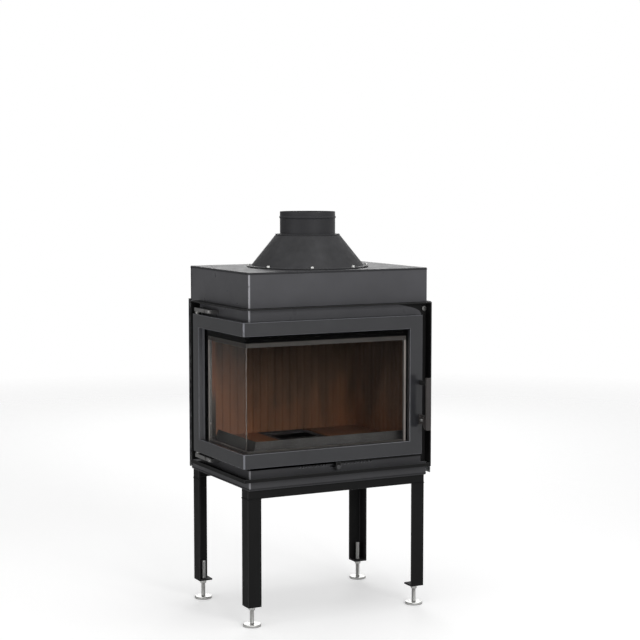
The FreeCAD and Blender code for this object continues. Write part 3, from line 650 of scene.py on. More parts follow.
class Shape:
    """A mesh under construction, in the model's frame."""

    def __init__(self) -> None:
        """Start with nothing."""
        self.mesh = bmesh.new()

    def loft(self, rings: Sequence[Sequence[Vector]], closed: bool = False, capped: bool = True,
             highlight_wear_steps: Sequence[int] = (), highlight_wear_points: Sequence[int] = ()) -> None:
        """Join rings of points with a skin.

        Args:
            rings: Rings with the same number of points, in order.
            closed: Join the last ring to the first.
            capped: Close both ends, where the rings aren't joined round.
            highlight_wear_steps: Rings that start a strip of the edge finish, worn paint with a painted
                highlight.
            highlight_wear_points: Points of a ring that start a lengthwise strip of the edge finish, worn
                paint with a painted highlight.
        """
        rows = [[self.mesh.verts.new(point) for point in ring] for ring in rings]
        pairs = list(zip(rows, rows[1:]))
        if closed:
            pairs.append((rows[-1], rows[0]))
        for step, (low, high) in enumerate(pairs):
            for index in range(len(low)):
                following = (index + 1) % len(low)
                face = self.mesh.faces.new((low[index], low[following], high[following], high[index]))
                face.material_index = int(step in highlight_wear_steps or index in highlight_wear_points)
        if capped and not closed:
            self.mesh.faces.new(rows[0][::-1])
            self.mesh.faces.new(rows[-1])

    def prism(self, outline: Sequence[Vector], rise: Vector, highlight_wear_points: Sequence[int] = ()) -> None:
        """An outline carried straight along a line.

        Args:
            outline: The corners of the flat end.
            rise: The way to the other end.
            highlight_wear_points: Corners that start a strip of the edge finish, worn paint with a painted
                highlight.
        """
        self.loft((outline, [point + rise for point in outline]), highlight_wear_points=highlight_wear_points)

    def block(self, low: Vector, high: Vector) -> None:
        """A rectangular block between two opposite corners."""
        plan = ((low.x, low.y), (high.x, low.y), (high.x, high.y), (low.x, high.y))
        self.prism([Vector((x, y, low.z)) for x, y in plan], UP * (high.z - low.z))

    def turn(self, rings: Sequence[Ring], foot: Vector, axis: Vector, closed: bool = False,
             steps: int = 48) -> None:
        """A piece turned about an axis.

        Args:
            rings: Radii and heights, in millimetres.
            foot: Where the heights start.
            axis: The way the heights run, of length 1.
            closed: Join the last ring to the first, for a tube.
            steps: Points round each ring.
        """
        across = RIGHT if abs(axis.z) > 0.5 else UP
        along = axis.cross(across)
        angles = [math.tau * index / steps for index in range(steps)]
        skins = []
        for ring in rings:
            middle = foot + axis * (ring.height * MM)
            reach = [ring.radius * MM * ring.section.share(angle) for angle in angles]
            skins.append([
                middle + across * (size * math.cos(angle)) + along * (size * math.sin(angle))
                for size, angle in zip(reach, angles)
            ])
        self.loft(skins, closed)

    def screw(self, head: Head, radius: float, height: float, foot: Vector, axis: Vector) -> None:
        """A screw head that stands on a face.

        Args:
            head: The kind of head.
            radius: Its widest radius, in millimetres.
            height: Its height, in millimetres.
            foot: The middle of the face that it stands on.
            axis: The way that it stands up.
        """
        self.turn([ring.scaled(radius, height) for ring in head.value], foot, axis, steps=36)

    def bead(self, start: Vector, end: Vector, radius: float, ripple: float = 2.6,
             waist: float = 0.78) -> None:
        """A run of weld with its ripples.

        Args:
            start: Where it starts.
            end: Where it ends.
            radius: Its radius, in millimetres.
            ripple: The length of one ripple, in millimetres.
            waist: The radius between ripples, as a share.
        """
        way = (end - start).normalized()
        across = way.orthogonal().normalized()
        along = way.cross(across)
        steps = max(4, 2 * round((end - start).length / (ripple * MM)))
        corners = [math.tau * index / 8 for index in range(8)]
        rings = []
        for step in range(steps + 1):
            size = radius * MM * (1.0 if step % 2 else waist)
            if step in (0, steps):
                size /= 2
            middle = start.lerp(end, step / steps)
            rings.append([middle + (across * math.cos(a) + along * math.sin(a)) * size for a in corners])
        self.loft(rings)

    def piece(self, name: str, finish: Finish, body: str, replaced: Sequence[str] = (),
              soften: float = 0.0, sharp: float = 35.0) -> bpy.types.Object:
        """Turn the mesh into a finished piece of the object.

        Args:
            name: The piece's name.
            finish: Its finish.
            body: The moving body that carries it.
            replaced: The solids that it stands for.
            soften: The width of its softened edges, in millimetres.
            sharp: Edges that turn by more than this stay crisp, in degrees.

        Returns:
            The piece.
        """
        bmesh.ops.remove_doubles(self.mesh, verts=self.mesh.verts, dist=1e-6)
        bmesh.ops.dissolve_degenerate(self.mesh, edges=self.mesh.edges, dist=1e-7)
        bmesh.ops.recalc_face_normals(self.mesh, faces=self.mesh.faces)
        data = bpy.data.meshes.new(name)
        self.mesh.to_mesh(data)
        self.mesh.free()
        data.shade_smooth()
        data.set_sharp_from_angle(angle=math.radians(sharp))
        item = bpy.data.objects.new(name, data)
        bpy.context.scene.collection.objects.link(item)
        coat(item, finish, soften)
        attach(item, body)
        if replaced:
            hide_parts(*replaced)
        LOG.info("%s on %s, in %s", name, body, finish.name)
        return item


def coat(item: bpy.types.Object, finish: Finish, soften: float) -> None:
    """Give a piece its finish and softened edges.

    Args:
        item: The piece.
        finish: Its finish.
        soften: The width of the softened edges, in millimetres, or 0 for none.
    """
    if item.data.materials:
        item.data.materials.clear()
    for material in (finish.material(), finish.edge()):
        item.data.materials.append(material)
    if soften > 0:
        bevel = item.modifiers.new("softened", "BEVEL")
        bevel.limit_method = "ANGLE"
        bevel.angle_limit = math.radians(46)
        bevel.width = soften * MM
        bevel.segments = 3
        # Softened edges take the finish's edge material: paler, as wear with a painted highlight.
        bevel.material = 1
        bevel.miter_outer = "MITER_ARC"
    normals = item.modifiers.new("even", "WEIGHTED_NORMAL")
    normals.keep_sharp = soften <= 0


def dress(soften: float, *nodes: str, finish: Finish | None = None) -> None:
    """Finish solids that are shown as they are.

    Args:
        soften: The width of their softened edges, in millimetres.
        nodes: Their names.
        finish: A finish other than that of their slot.
    """
    for node in nodes:
        item = frame["nodes"][node]
        if "custom_normal" in item.data.attributes:
            item.data.attributes.remove(item.data.attributes["custom_normal"])
        item.data.shade_smooth()
        chosen = finish or FINISHES[SLOT_OF[node]]
        weld = item.modifiers.new("joined", "WELD")
        weld.merge_threshold = 1e-5
        flat = item.modifiers.new("flat", "DECIMATE")
        flat.decimate_type = "DISSOLVE"
        flat.angle_limit = math.radians(0.4)
        coat(item, chosen, soften)
        LOG.info("%s on %s, in %s", node, BODY_OF[node], chosen.name)


def around(*nodes: str) -> tuple[Vector, Vector]:
    """The box round several solids at rest.

    Args:
        nodes: Their names.

    Returns:
        The lowest and the highest corner.
    """
    boxes = [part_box(node) for node in nodes]
    low = Vector(min(box[0][axis] for box in boxes) for axis in range(3))
    high = Vector(max(box[1][axis] for box in boxes) for axis in range(3))
    return low, high


@dataclass(frozen=True)
class CornerWrap:
    """Carries a strip round the insert's vertical corner.

    A run is positive along the front and negative along the side, and a depth goes inwards.
    """

    x: float
    y: float
    radius: float = 0.0

    def at(self, run: float, depth: float, height: float) -> Vector:
        """The point on the sharp corner's strip.

        Args:
            run: How far along the front, or along the side where it is negative, in metres.
            depth: How far inside the outer faces, in metres.
            height: The height, in metres.

        Returns:
            The point in the model's frame.
        """
        if run > depth:
            return Vector((self.x + run, self.y + depth, height))
        if run < -depth:
            return Vector((self.x + depth, self.y - run, height))
        return Vector((self.x + depth, self.y + depth, height))

    def bend(self, angle: float, depth: float, height: float) -> Vector:
        """The point on the rounded corner.

        Args:
            angle: From 0 at the front to a quarter turn at the side, in radians.
            depth: How far inside the outer faces, in metres.
            height: The height, in metres.

        Returns:
            The point in the model's frame.
        """
        if depth >= self.radius:
            return self.at(0.0, depth, height)
        reach = self.radius - depth
        x = self.x + self.radius - reach * math.sin(angle)
        y = self.y + self.radius - reach * math.cos(angle)
        return Vector((x, y, height))


def quarter(steps: int) -> list[float]:
    """Even angles from 0 to a quarter turn."""
    return [math.pi / 2 * index / steps for index in range(steps + 1)]


def over(node: str, height: float) -> Vector:
    """The point on a solid's upright axis, at a height in metres."""
    low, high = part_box(node)
    return Vector(((low.x + high.x) / 2, (low.y + high.y) / 2, height))


@dataclass
class FrontFrame:
    """The fixed frame round the door: header, sill, jambs, flange and gusset."""

    bend_radius: float = 4.0
    bend_steps: int = 6
    slot_half: float = 19.0
    slot_rise: float = 4.0
    vent_radius: float = 2.5
    vent_pitch: float = 10.0
    vent_start: float = 30.0
    vents: int = 9
    vent_rise: float = 5.0
    cut_spare: float = 5.0
    cut_depth: float = 14.0
    shadow_strip_gap: float = 1.0
    shadow_strip_drop: float = 10.5
    shadow_strip_thick: float = 0.4
    gusset_foot: float = 15.0
    sweep_run: float = 0.63
    sweep_drops: tuple[float, float] = (0.3, 0.5)
    sweep_in: float = 2.0
    sweep_points: int = 14

    def build(self) -> None:
        """Make the bent sheets, the black strip of painted shadow under the door and the gusset, and dress
        the rest.
        """
        header = self.bent_sheet("header", ("header_front", "header_side"), FRAME_PAINT)
        self.cut(header, self.post_notch())
        sill = self.bent_sheet("sill", ("sill_front", "sill_side"), SILL_PAINT)
        self.cut(sill, self.air_holes(self.post_notch()))
        self.seal()
        self.gusset()
        dress(0.6, "right_jamb", "left_wall", "flange_bottom", "flange_top", "flange_sides")

    def foot_left(self) -> float:
        """Where the gusset's foot starts along X, in metres."""
        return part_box("header_gusset")[1].x - self.gusset_foot * MM

    def bent_sheet(self, name: str, nodes: tuple[str, str], finish: Finish) -> bpy.types.Object:
        """One sheet bent round the corner.

        Args:
            name: The sheet's name.
            nodes: Its front and side solids.
            finish: Its finish.

        Returns:
            The sheet.
        """
        low, high = around(*nodes)
        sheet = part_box(nodes[0])[1].y - low.y
        wrap = CornerWrap(low.x, low.y, self.bend_radius * MM)
        run, depth = high.x - low.x, high.y - low.y
        outline = [wrap.at(run, 0.0, low.z)]
        outline += [wrap.bend(angle, 0.0, low.z) for angle in quarter(self.bend_steps)]
        outline += [wrap.at(-depth, 0.0, low.z), wrap.at(-depth, sheet, low.z)]
        outline += [wrap.at(0.0, sheet, low.z), wrap.at(run, sheet, low.z)]
        shape = Shape()
        # The bend takes the edge finish along the corner: worn paint with a painted highlight.
        shape.prism(outline, UP * (high.z - low.z), range(1, self.bend_steps + 1))
        return shape.piece(name + "_sheet", finish, "body", nodes, soften=0.5)

    def post_notch(self) -> Shape:
        """The room that the right jamb's post takes out of both sheets.

        Returns:
            What is cut away.
        """
        low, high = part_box("right_jamb")
        front, right = low.y - self.cut_spare * MM, high.x + self.cut_spare * MM
        shape = Shape()
        shape.block(
            Vector((self.foot_left(), front, low.z)),
            Vector((right, front + self.cut_depth * MM, high.z)),
        )
        return shape

    def air_holes(self, tool: Shape) -> Shape:
        """The slot of the air control and the rows of small air holes.

        Args:
            tool: What is cut away already.

        Returns:
            The same, with the slot and the holes.
        """
        knob_low, knob_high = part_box("air_knob")
        middle = (knob_low + knob_high) / 2
        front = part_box("sill_front")[0].y - self.cut_spare * MM
        half, rise = (self.slot_half - self.slot_rise) * MM, self.slot_rise * MM
        ends = [(half, degrees) for degrees in range(-90, 91, 45)]
        ends += [(-half, degrees) for degrees in range(90, 271, 45)]
        slot = []
        for end, degrees in ends:
            angle = math.radians(degrees)
            x, z = middle.x + end + rise * math.cos(angle), middle.z + rise * math.sin(angle)
            slot.append(Vector((x, front, z)))
        tool.prism(slot, BACK * (self.cut_depth * MM))
        vent = (Ring(self.vent_radius, 0), Ring(self.vent_radius, self.cut_depth))
        for index in range(self.vents):
            offset = (self.vent_start + self.vent_pitch * index) * MM
            for x in (middle.x - offset, middle.x + offset):
                tool.turn(vent, Vector((x, front, middle.z + self.vent_rise * MM)), BACK, steps=16)
        return tool

    def cut(self, sheet: bpy.types.Object, tool: Shape) -> None:
        """Cut a shape out of a sheet.

        Args:
            sheet: The sheet.
            tool: What is cut away.
        """
        bmesh.ops.recalc_face_normals(tool.mesh, faces=tool.mesh.faces)
        data = bpy.data.meshes.new("cuts")
        tool.mesh.to_mesh(data)
        tool.mesh.free()
        cutter = bpy.data.objects.new("cuts", data)
        bpy.context.scene.collection.objects.link(cutter)
        hole = sheet.modifiers.new("cuts", "BOOLEAN")
        hole.object = cutter
        hole.solver = "EXACT"
        sheet.modifiers.move(len(sheet.modifiers) - 1, 0)
        bpy.context.view_layer.update()
        made = bpy.data.meshes.new_from_object(sheet.evaluated_get(bpy.context.evaluated_depsgraph_get()))
        sheet.modifiers.clear()
        sheet.data = made
        bpy.data.objects.remove(cutter)

    def seal(self) -> None:
        """Black strip on the sill under the lower edge of the door: a painted shadow of the door's edge."""
        low = around("sill_front", "sill_side")[0]
        drop, thin = self.shadow_strip_drop * MM, self.shadow_strip_thick * MM
        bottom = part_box("door_bottom_rail")[0].z - self.shadow_strip_gap * MM - drop
        wrap = CornerWrap(low.x, low.y)
        right = self.foot_left() - low.x
        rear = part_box("sill_side")[1].y - low.y
        runs = [(right, -thin), (-thin, -thin), (-rear, -thin), (-rear, 0.0), (0.0, 0.0), (right, 0.0)]
        shape = Shape()
        shape.prism([wrap.at(run, depth, bottom) for run, depth in runs], UP * drop)
        # The black finish here is painted shadow.
        shape.piece("sill_shadow_strip", RUBBER, "body")

    def gusset(self) -> None:
        """Black corner gusset with a swept lower edge: its black face and swept edge are painted shade at the
        header's right end.
        """
        node = "header_gusset"
        low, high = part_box(node)
        foot, tall = self.foot_left(), high.z - low.z
        tip = Vector((low.x, low.y, high.z))
        first = Vector((low.x + (foot - low.x) * self.sweep_run, low.y, high.z - tall * self.sweep_drops[0]))
        second = Vector((foot - self.sweep_in * MM, low.y, high.z - tall * self.sweep_drops[1]))
        sweep = interpolate_bezier(tip, first, second, Vector((foot, low.y, low.z)), self.sweep_points)
        outline = [*sweep, Vector((high.x, low.y, low.z)), Vector((high.x, low.y, high.z))]
        shape = Shape()
        shape.prism(outline, BACK * (high.y - low.y))
        shape.piece("header_gusset_plate", BLACK_PAINT, "body", (node,), soften=0.3)


@dataclass
class HingeSet:
    """Bolted hinge arms, their pins and bushes, and the frame's bolts."""

    arm_height: float = 10.0
    bolt_in: float = 10.0
    bolt_pitch: float = 32.0
    arm_head: float = 4.5
    arm_head_height: float = 3.0
    gusset_head: float = 7.5
    gusset_head_height: float = 5.0
    gusset_bolt_in: float = 8.0
    gusset_bolt_down: float = 16.0

    def build(self) -> None:
        """Make the bolts, and dress the arms, pins and bushes."""
        self.bolts()
        dress(1.2, "hinge_arms", finish=ARM_STEEL)
        dress(0.6, "hinge_pins")
        dress(0.5, "hinge_bushes")

    def bolts(self) -> None:
        """Socket-head bolts of the arms and of the gusset."""
        low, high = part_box("hinge_arms")
        half = self.arm_height / 2 * MM
        # The same bolts in two finishes: bright zinc at the front, a painted highlight at the arms' front
        # ends, and dark steel behind.
        rows = (
            ("front_arm_bolts", self.bolt_in, ZINC),
            ("rear_arm_bolts", self.bolt_in + self.bolt_pitch, ARM_STEEL),
        )
        for name, along, finish in rows:
            shape = Shape()
            for z in (low.z + half, high.z - half):
                foot = Vector((low.x, low.y + along * MM, z))
                shape.screw(Head.SOCKET, self.arm_head, self.arm_head_height, foot, -RIGHT)
            shape.piece(name, finish, "body", ("frame_bolts",))
        low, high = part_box("header_gusset")
        foot = Vector((high.x - self.gusset_bolt_in * MM, low.y, high.z - self.gusset_bolt_down * MM))
        shape = Shape()
        shape.screw(Head.SOCKET, self.gusset_head, self.gusset_head_height, foot, -BACK)
        shape.piece("gusset_bolt", BRIGHT_STEEL, "body", ("frame_bolts",))


@dataclass
class Casing:
    """The welded casing with its heat shields."""

    weld_radius: float = 1.8
    shield_border: float = 85.0
    shield_press: float = 4.0
    screw_radius: float = 6.0
    screw_height: float = 3.2
    spacer_in: float = 60.0

    def build(self) -> None:
        """Make welds, shields and screws, and dress the plates."""
        dress(0.7, "right_wall", "back_wall", "bottom_plate", "top_plate", "base_plate")
        dress(0.4, "shield_spacers")
        self.welds()
        self.shield("rear_shield", -BACK)
        self.shield("right_shield", -RIGHT)
        self.screws()

    def welds(self) -> None:
        """Welded seams along the casing's upright corners and round its top and bottom plates."""
        low, high = around("bottom_plate", "top_plate")
        wall_low, wall_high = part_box("back_wall")
        shape = Shape()
        for x in (low.x, high.x):
            foot, top = Vector((x, wall_low.y, wall_low.z)), Vector((x, wall_low.y, wall_high.z))
            shape.bead(foot, top, self.weld_radius)
        plan = ((low.x, low.y), (high.x, low.y), (high.x, high.y), (low.x, high.y))
        for z in (wall_low.z, wall_high.z):
            corners = [Vector((x, y, z)) for x, y in plan]
            for start, end in zip(corners, corners[1:] + corners[:1]):
                shape.bead(start, end, self.weld_radius)
        shape.piece("casing_welds", CASING_PAINT, "body")

    def shield(self, node: str, inwards: Vector) -> None:
        """One heat shield, pressed inwards in four flat facets so that it stays stiff.

        Args:
            node: The solid that it stands for.
            inwards: The way towards the casing.
        """
        low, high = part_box(node)
        flat = 0 if abs(inwards.x) > 0.5 else 1
        run = 1 - flat

        def point(face: float, along: float, z: float) -> Vector:
            """A point on one face of the sheet."""
            return Vector((along, face, z)) if flat else Vector((face, along, z))

        def ring(face: float, inset: float) -> list[Vector]:
            """Four corners on one face, inset from the sheet's edges."""
            near, far, bottom, top = low[run] + inset, high[run] - inset, low.z + inset, high.z - inset
            return [point(face, *spot) for spot in ((near, bottom), (far, bottom), (far, top), (near, top))]

        def apex(face: float) -> list[Vector]:
            """The pressed middle of one face, as a ring of four equal points."""
            middle = point(face, (low[run] + high[run]) / 2, (low.z + high.z) / 2)
            return [middle + inwards * (self.shield_press * MM)] * 4

        inner, outer, border = low[flat], high[flat], self.shield_border * MM
        rings = [apex(inner), ring(inner, border), ring(inner, 0.0)]
        rings += [ring(outer, 0.0), ring(outer, border), apex(outer)]
        shape = Shape()
        shape.loft(rings, capped=False)
        shape.piece(node + "_sheet", GALVANISED, "body", (node,), sharp=0.3)

    def screws(self) -> None:
        """Hex screws through the shields into their spacers."""
        inset = self.spacer_in * MM
        rear_low, rear_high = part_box("rear_shield")
        side_low, side_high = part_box("right_shield")
        wall_low, wall_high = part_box("back_wall")
        levels = (rear_low.z + inset, rear_high.z - inset)
        across, along = (wall_low.x + inset, wall_high.x - inset), (side_low.y + inset, side_high.y - inset)
        spots = [(Vector((x, rear_high.y, z)), BACK) for z in levels for x in across]
        spots += [(Vector((side_high.x, y, z)), RIGHT) for z in levels for y in along]
        shape = Shape()
        for foot, axis in spots:
            shape.screw(Head.HEX, self.screw_radius, self.screw_height, foot, axis)
        shape.piece("shield_screws", ZINC, "body")


@dataclass
class SmokeOutlet:
    """Smoke dome, flue collar and air spigot."""

    collar_bore: float = 75.0
    collar_wall: float = 3.0
    collar_root: float = 2.0
    bead_rise: float = 2.0
    bead_down: float = 20.0
    bead_width: float = 8.0
    bead_steps: int = 6
    soft_edge: float = 0.6
    soft_end: float = 1.0
    spigot_wall: float = 3.0
    spigot_rim: float = 10.0
    dome_rim: float = 12.0
    dome_wall: float = 4.0
    bolts: int = 8
    bolt_radius: float = 4.6
    bolt_height: float = 5.0

    def build(self) -> None:
        """Make the collar, the spigot and the dome's bolts, and dress the dome."""
        dress(2.5, "smoke_dome")
        self.collar()
        self.spigot()
        self.dome_bolts()

    def collar(self) -> None:
        """Flanged collar with a softened lip and a pressed bead."""
        low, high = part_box("flue_collar")
        rim, tall = (high.x - low.x) / 2 / MM, (high.z - low.z) / MM
        bore, wall, soft, root = self.collar_bore, self.collar_wall, self.soft_edge, self.collar_root
        outer = bore + wall
        rings = [
            Ring(bore, 0),
            Ring(rim, 0),
            Ring(rim, wall - soft),
            Ring(rim - soft, wall),
            Ring(outer + root, wall),
            Ring(outer + soft, wall + soft),
            Ring(outer, wall + root),
        ]
        for step in range(self.bead_steps + 1):
            share = step / self.bead_steps
            rise = self.bead_rise * math.sin(math.pi * share)
            rings.append(Ring(outer + rise, tall - self.bead_down + self.bead_width * share))
        rings += [
            Ring(outer, tall - self.soft_end),
            Ring(outer - soft, tall),
            Ring(bore + soft, tall),
            Ring(bore, tall - self.soft_end),
        ]
        shape = Shape()
        shape.turn(rings, over("flue_collar", low.z), UP, closed=True, steps=96)
        shape.piece("flue_collar_tube", CASING_PAINT, "body", ("flue_collar",))

    def spigot(self) -> None:
        """Air spigot with a flange and a softened end."""
        low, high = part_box("air_spigot")
        rim, tall = (high.x - low.x) / 2 / MM, (high.z - low.z) / MM
        outer = rim - self.spigot_rim
        bore = outer - self.spigot_wall
        rings = [
            Ring(bore, 0),
            Ring(rim, 0),
            Ring(rim, self.spigot_wall),
            Ring(outer, self.spigot_wall),
            Ring(outer, tall - self.soft_end),
            Ring(outer - self.soft_end, tall),
            Ring(bore + self.soft_edge, tall),
            Ring(bore, tall - self.soft_edge),
        ]
        shape = Shape()
        shape.turn(rings, over("air_spigot", high.z), -UP, closed=True, steps=72)
        shape.piece("air_spigot_tube", CASING_PAINT, "body", ("air_spigot",))

    def dome_bolts(self) -> None:
        """Hex bolts through the dome's foot."""
        low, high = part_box("smoke_dome")
        middle = over("smoke_dome", low.z + self.dome_wall * MM)
        reach = (high.x - low.x) / 2 - self.dome_rim / 2 * MM
        shape = Shape()
        for index in range(self.bolts):
            angle = math.tau * (index + 0.5) / self.bolts
            foot = middle + Vector((math.cos(angle), math.sin(angle), 0)) * reach
            shape.screw(Head.HEX, self.bolt_radius, self.bolt_height, foot, UP)
        shape.piece("dome_bolts", ZINC, "body")


@dataclass
class Stand:
    """Angle legs, cross rails and levelling feet."""

    foot_radius: float = 25.0
    foot_height: float = 8.0
    foot_top: float = 0.6
    soft: float = 1.0
    spindle: float = 6.0
    thread: float = 0.6
    pitch: float = 1.75
    spindle_top: float = 110.0
    nut_low: float = 45.0
    nut_high: float = 55.0
    nut_radius: float = 10.0
    nut_face: float = 0.85
    weld_radius: float = 2.0
    stitch_half: float = 20.0
    stitches: tuple[float, ...] = (0.15, 0.5, 0.85)

    def build(self) -> None:
        """Make the feet and the welds, and dress the legs and rails."""
        legs = [f"leg_{end}_{side}" for end in ("front", "rear") for side in ("left", "right")]
        dress(0.8, "base_rails", *legs)
        self.feet(legs)
        self.welds(legs)

    def feet(self, legs: Sequence[str]) -> None:
        """A threaded spindle, lock nut and round sole under each leg.

        Args:
            legs: The names of the legs.
        """
        wide, tall, soft = self.foot_radius, self.foot_height, self.soft
        sole = [
            Ring(wide - soft, 0),
            Ring(wide, soft),
            Ring(wide, tall - 3 * soft),
            Ring(wide - 2 * soft, tall - soft),
            Ring(wide * self.foot_top, tall),
        ]
        root = self.spindle - self.thread
        thread = []
        for index in range(round((self.spindle_top - tall) / self.pitch)):
            height = tall + self.pitch * index
            thread += [Ring(root, height), Ring(self.spindle, height + self.pitch / 2)]
        thread.append(Ring(root, self.spindle_top))
        nut = [
            Ring(self.nut_radius * self.nut_face, self.nut_low),
            Ring(self.nut_radius, self.nut_low + soft, Section.HEX),
            Ring(self.nut_radius, self.nut_high - soft, Section.HEX),
            Ring(self.nut_radius * self.nut_face, self.nut_high),
        ]
        shape = Shape()
        for leg in legs:
            for rings, steps in ((sole, 48), (thread, 24), (nut, 36)):
                shape.turn(rings, over(leg, 0.0), UP, steps=steps)
        shape.piece("threaded_feet", ZINC, "body", ("levelling_feet",))

    def welds(self, legs: Sequence[str]) -> None:
        """Welds where the legs meet the rails, and stitches between rails and casing.

        Args:
            legs: The names of the legs.
        """
        shape = Shape()
        for leg in legs:
            low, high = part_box(leg)
            x, y = low.x if "left" in leg else high.x, low.y if "front" in leg else high.y
            shape.bead(Vector((low.x, y, high.z)), Vector((high.x, y, high.z)), self.weld_radius)
            shape.bead(Vector((x, low.y, high.z)), Vector((x, high.y, high.z)), self.weld_radius)
        low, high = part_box("base_rails")
        half = RIGHT * (self.stitch_half * MM)
        for y in (low.y, high.y):
            for share in self.stitches:
                middle = Vector((low.x + (high.x - low.x) * share, y, high.z))
                shape.bead(middle - half, middle + half, self.weld_radius)
        shape.piece("stand_welds", BLACK_PAINT, "body")


@dataclass
class Firebox:
    """Lining, baffles, log guard, grate and ash pan."""

    groove_pitch: float = 24.0
    groove_width: float = 9.0
    groove_depth: float = 3.5
    groove_steps: int = 6
    plain_end: float = 12.0

    def build(self) -> None:
        """Make the grooved liners, and dress the rest."""
        self.liner("liner_back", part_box("liner_back")[0], RIGHT, BACK, LINING)
        self.liner("liner_right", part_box("liner_right")[0], BACK, RIGHT, LINING)
        low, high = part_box("liner_left")
        self.liner("liner_left", Vector((high.x, low.y, low.z)), BACK, -RIGHT, SOOTY_SHADED_LINING)
        dress(2.0, "hearth_slabs", "lower_baffle")
        dress(0.6, "upper_baffle", "baffle_ledges")
        # Lighter and darker copies of the cast iron on the guard's two faces: painted light and painted
        # shade.
        dress(0.8, "log_guard_front", finish=GUARD_LIT_IRON)
        dress(0.8, "log_guard_side", finish=GUARD_SHADED_IRON)
        dress(1.6, "grate")
        dress(0.4, "ash_pan")

    def liner(self, node: str, start: Vector, along: Vector, inwards: Vector, finish: Finish) -> None:
        """One fireclay panel with upright grooves in its face.

        Args:
            node: The solid that it stands for.
            start: The lower corner of its face.
            along: The way its face runs.
            inwards: The way from the face into the clay.
            finish: Its finish.
        """
        low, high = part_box(node)
        size = high - low
        run, deep = abs(size.dot(along)), abs(size.dot(inwards))
        grooves = max(1, int((run / MM - 2 * self.plain_end) // self.groove_pitch))
        first = (run / MM - self.groove_pitch * (grooves - 1)) / 2
        outline = [start]
        for index in range(grooves):
            middle = first + self.groove_pitch * index
            for step in range(self.groove_steps + 1):
                angle = math.pi * step / self.groove_steps
                place = middle - self.groove_width / 2 * math.cos(angle)
                cut = self.groove_depth * math.sin(angle)
                outline.append(start + along * (place * MM) + inwards * (cut * MM))
        outline += [start + along * run, start + along * run + inwards * deep, start + inwards * deep]
        shape = Shape()
        shape.prism(outline, UP * size.z)
        shape.piece(node + "_panel", finish, "body", (node,), sharp=40)


@dataclass
class AirControl:
    """Sliding shutter, its guides and its knob."""

    knob_radius: float = 7.0
    knob_rings: tuple[Ring, ...] = (
        Ring(0.62, 0.0),
        Ring(0.62, 0.3),
        Ring(0.9, 0.38),
        Ring(1.0, 0.45, Section.FLUTED),
        Ring(1.0, 0.88, Section.FLUTED),
        Ring(0.92, 0.96),
        Ring(0.75, 1.0),
        Ring(0.3, 0.96),
    )
    # Size and place of the black tab of painted shadow over the knob, in millimetres.
    shadow_tab_width: float = 14.0
    shadow_tab_start: float = 2.8
    shadow_tab_rise: float = 15.0
    shadow_tab_inset: float = 1.5

    def build(self) -> None:
        """Make the knob, and dress the shutter and its guides."""
        dress(0.3, "air_shutter", "shutter_guides")
        self.knob()

    def knob(self) -> None:
        """Turned knob with a fluted grip and a dished end, and a black tab over its top that is painted
        shadow.
        """
        low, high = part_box("air_knob")
        foot = Vector(((low.x + high.x) / 2, high.y, (low.z + high.z) / 2))
        long = (high.y - low.y) / MM
        shape = Shape()
        shape.turn([ring.scaled(self.knob_radius, long) for ring in self.knob_rings], foot, -BACK, steps=96)
        shape.piece("fluted_knob", KNOB_PAINT, "air_control", ("air_knob",), sharp=50)
        half, inset = self.shadow_tab_width / 2 * MM, self.shadow_tab_inset * MM
        shape = Shape()
        shape.block(
            Vector((foot.x - half, low.y + inset, foot.z + self.shadow_tab_start * MM)),
            Vector((foot.x + half, high.y - inset, foot.z + self.shadow_tab_rise * MM)),
        )
        # The black tab is painted shadow over the knob's top.
        shape.piece("knob_shadow_tab", BLACK_PAINT, "air_control", soften=1.5)


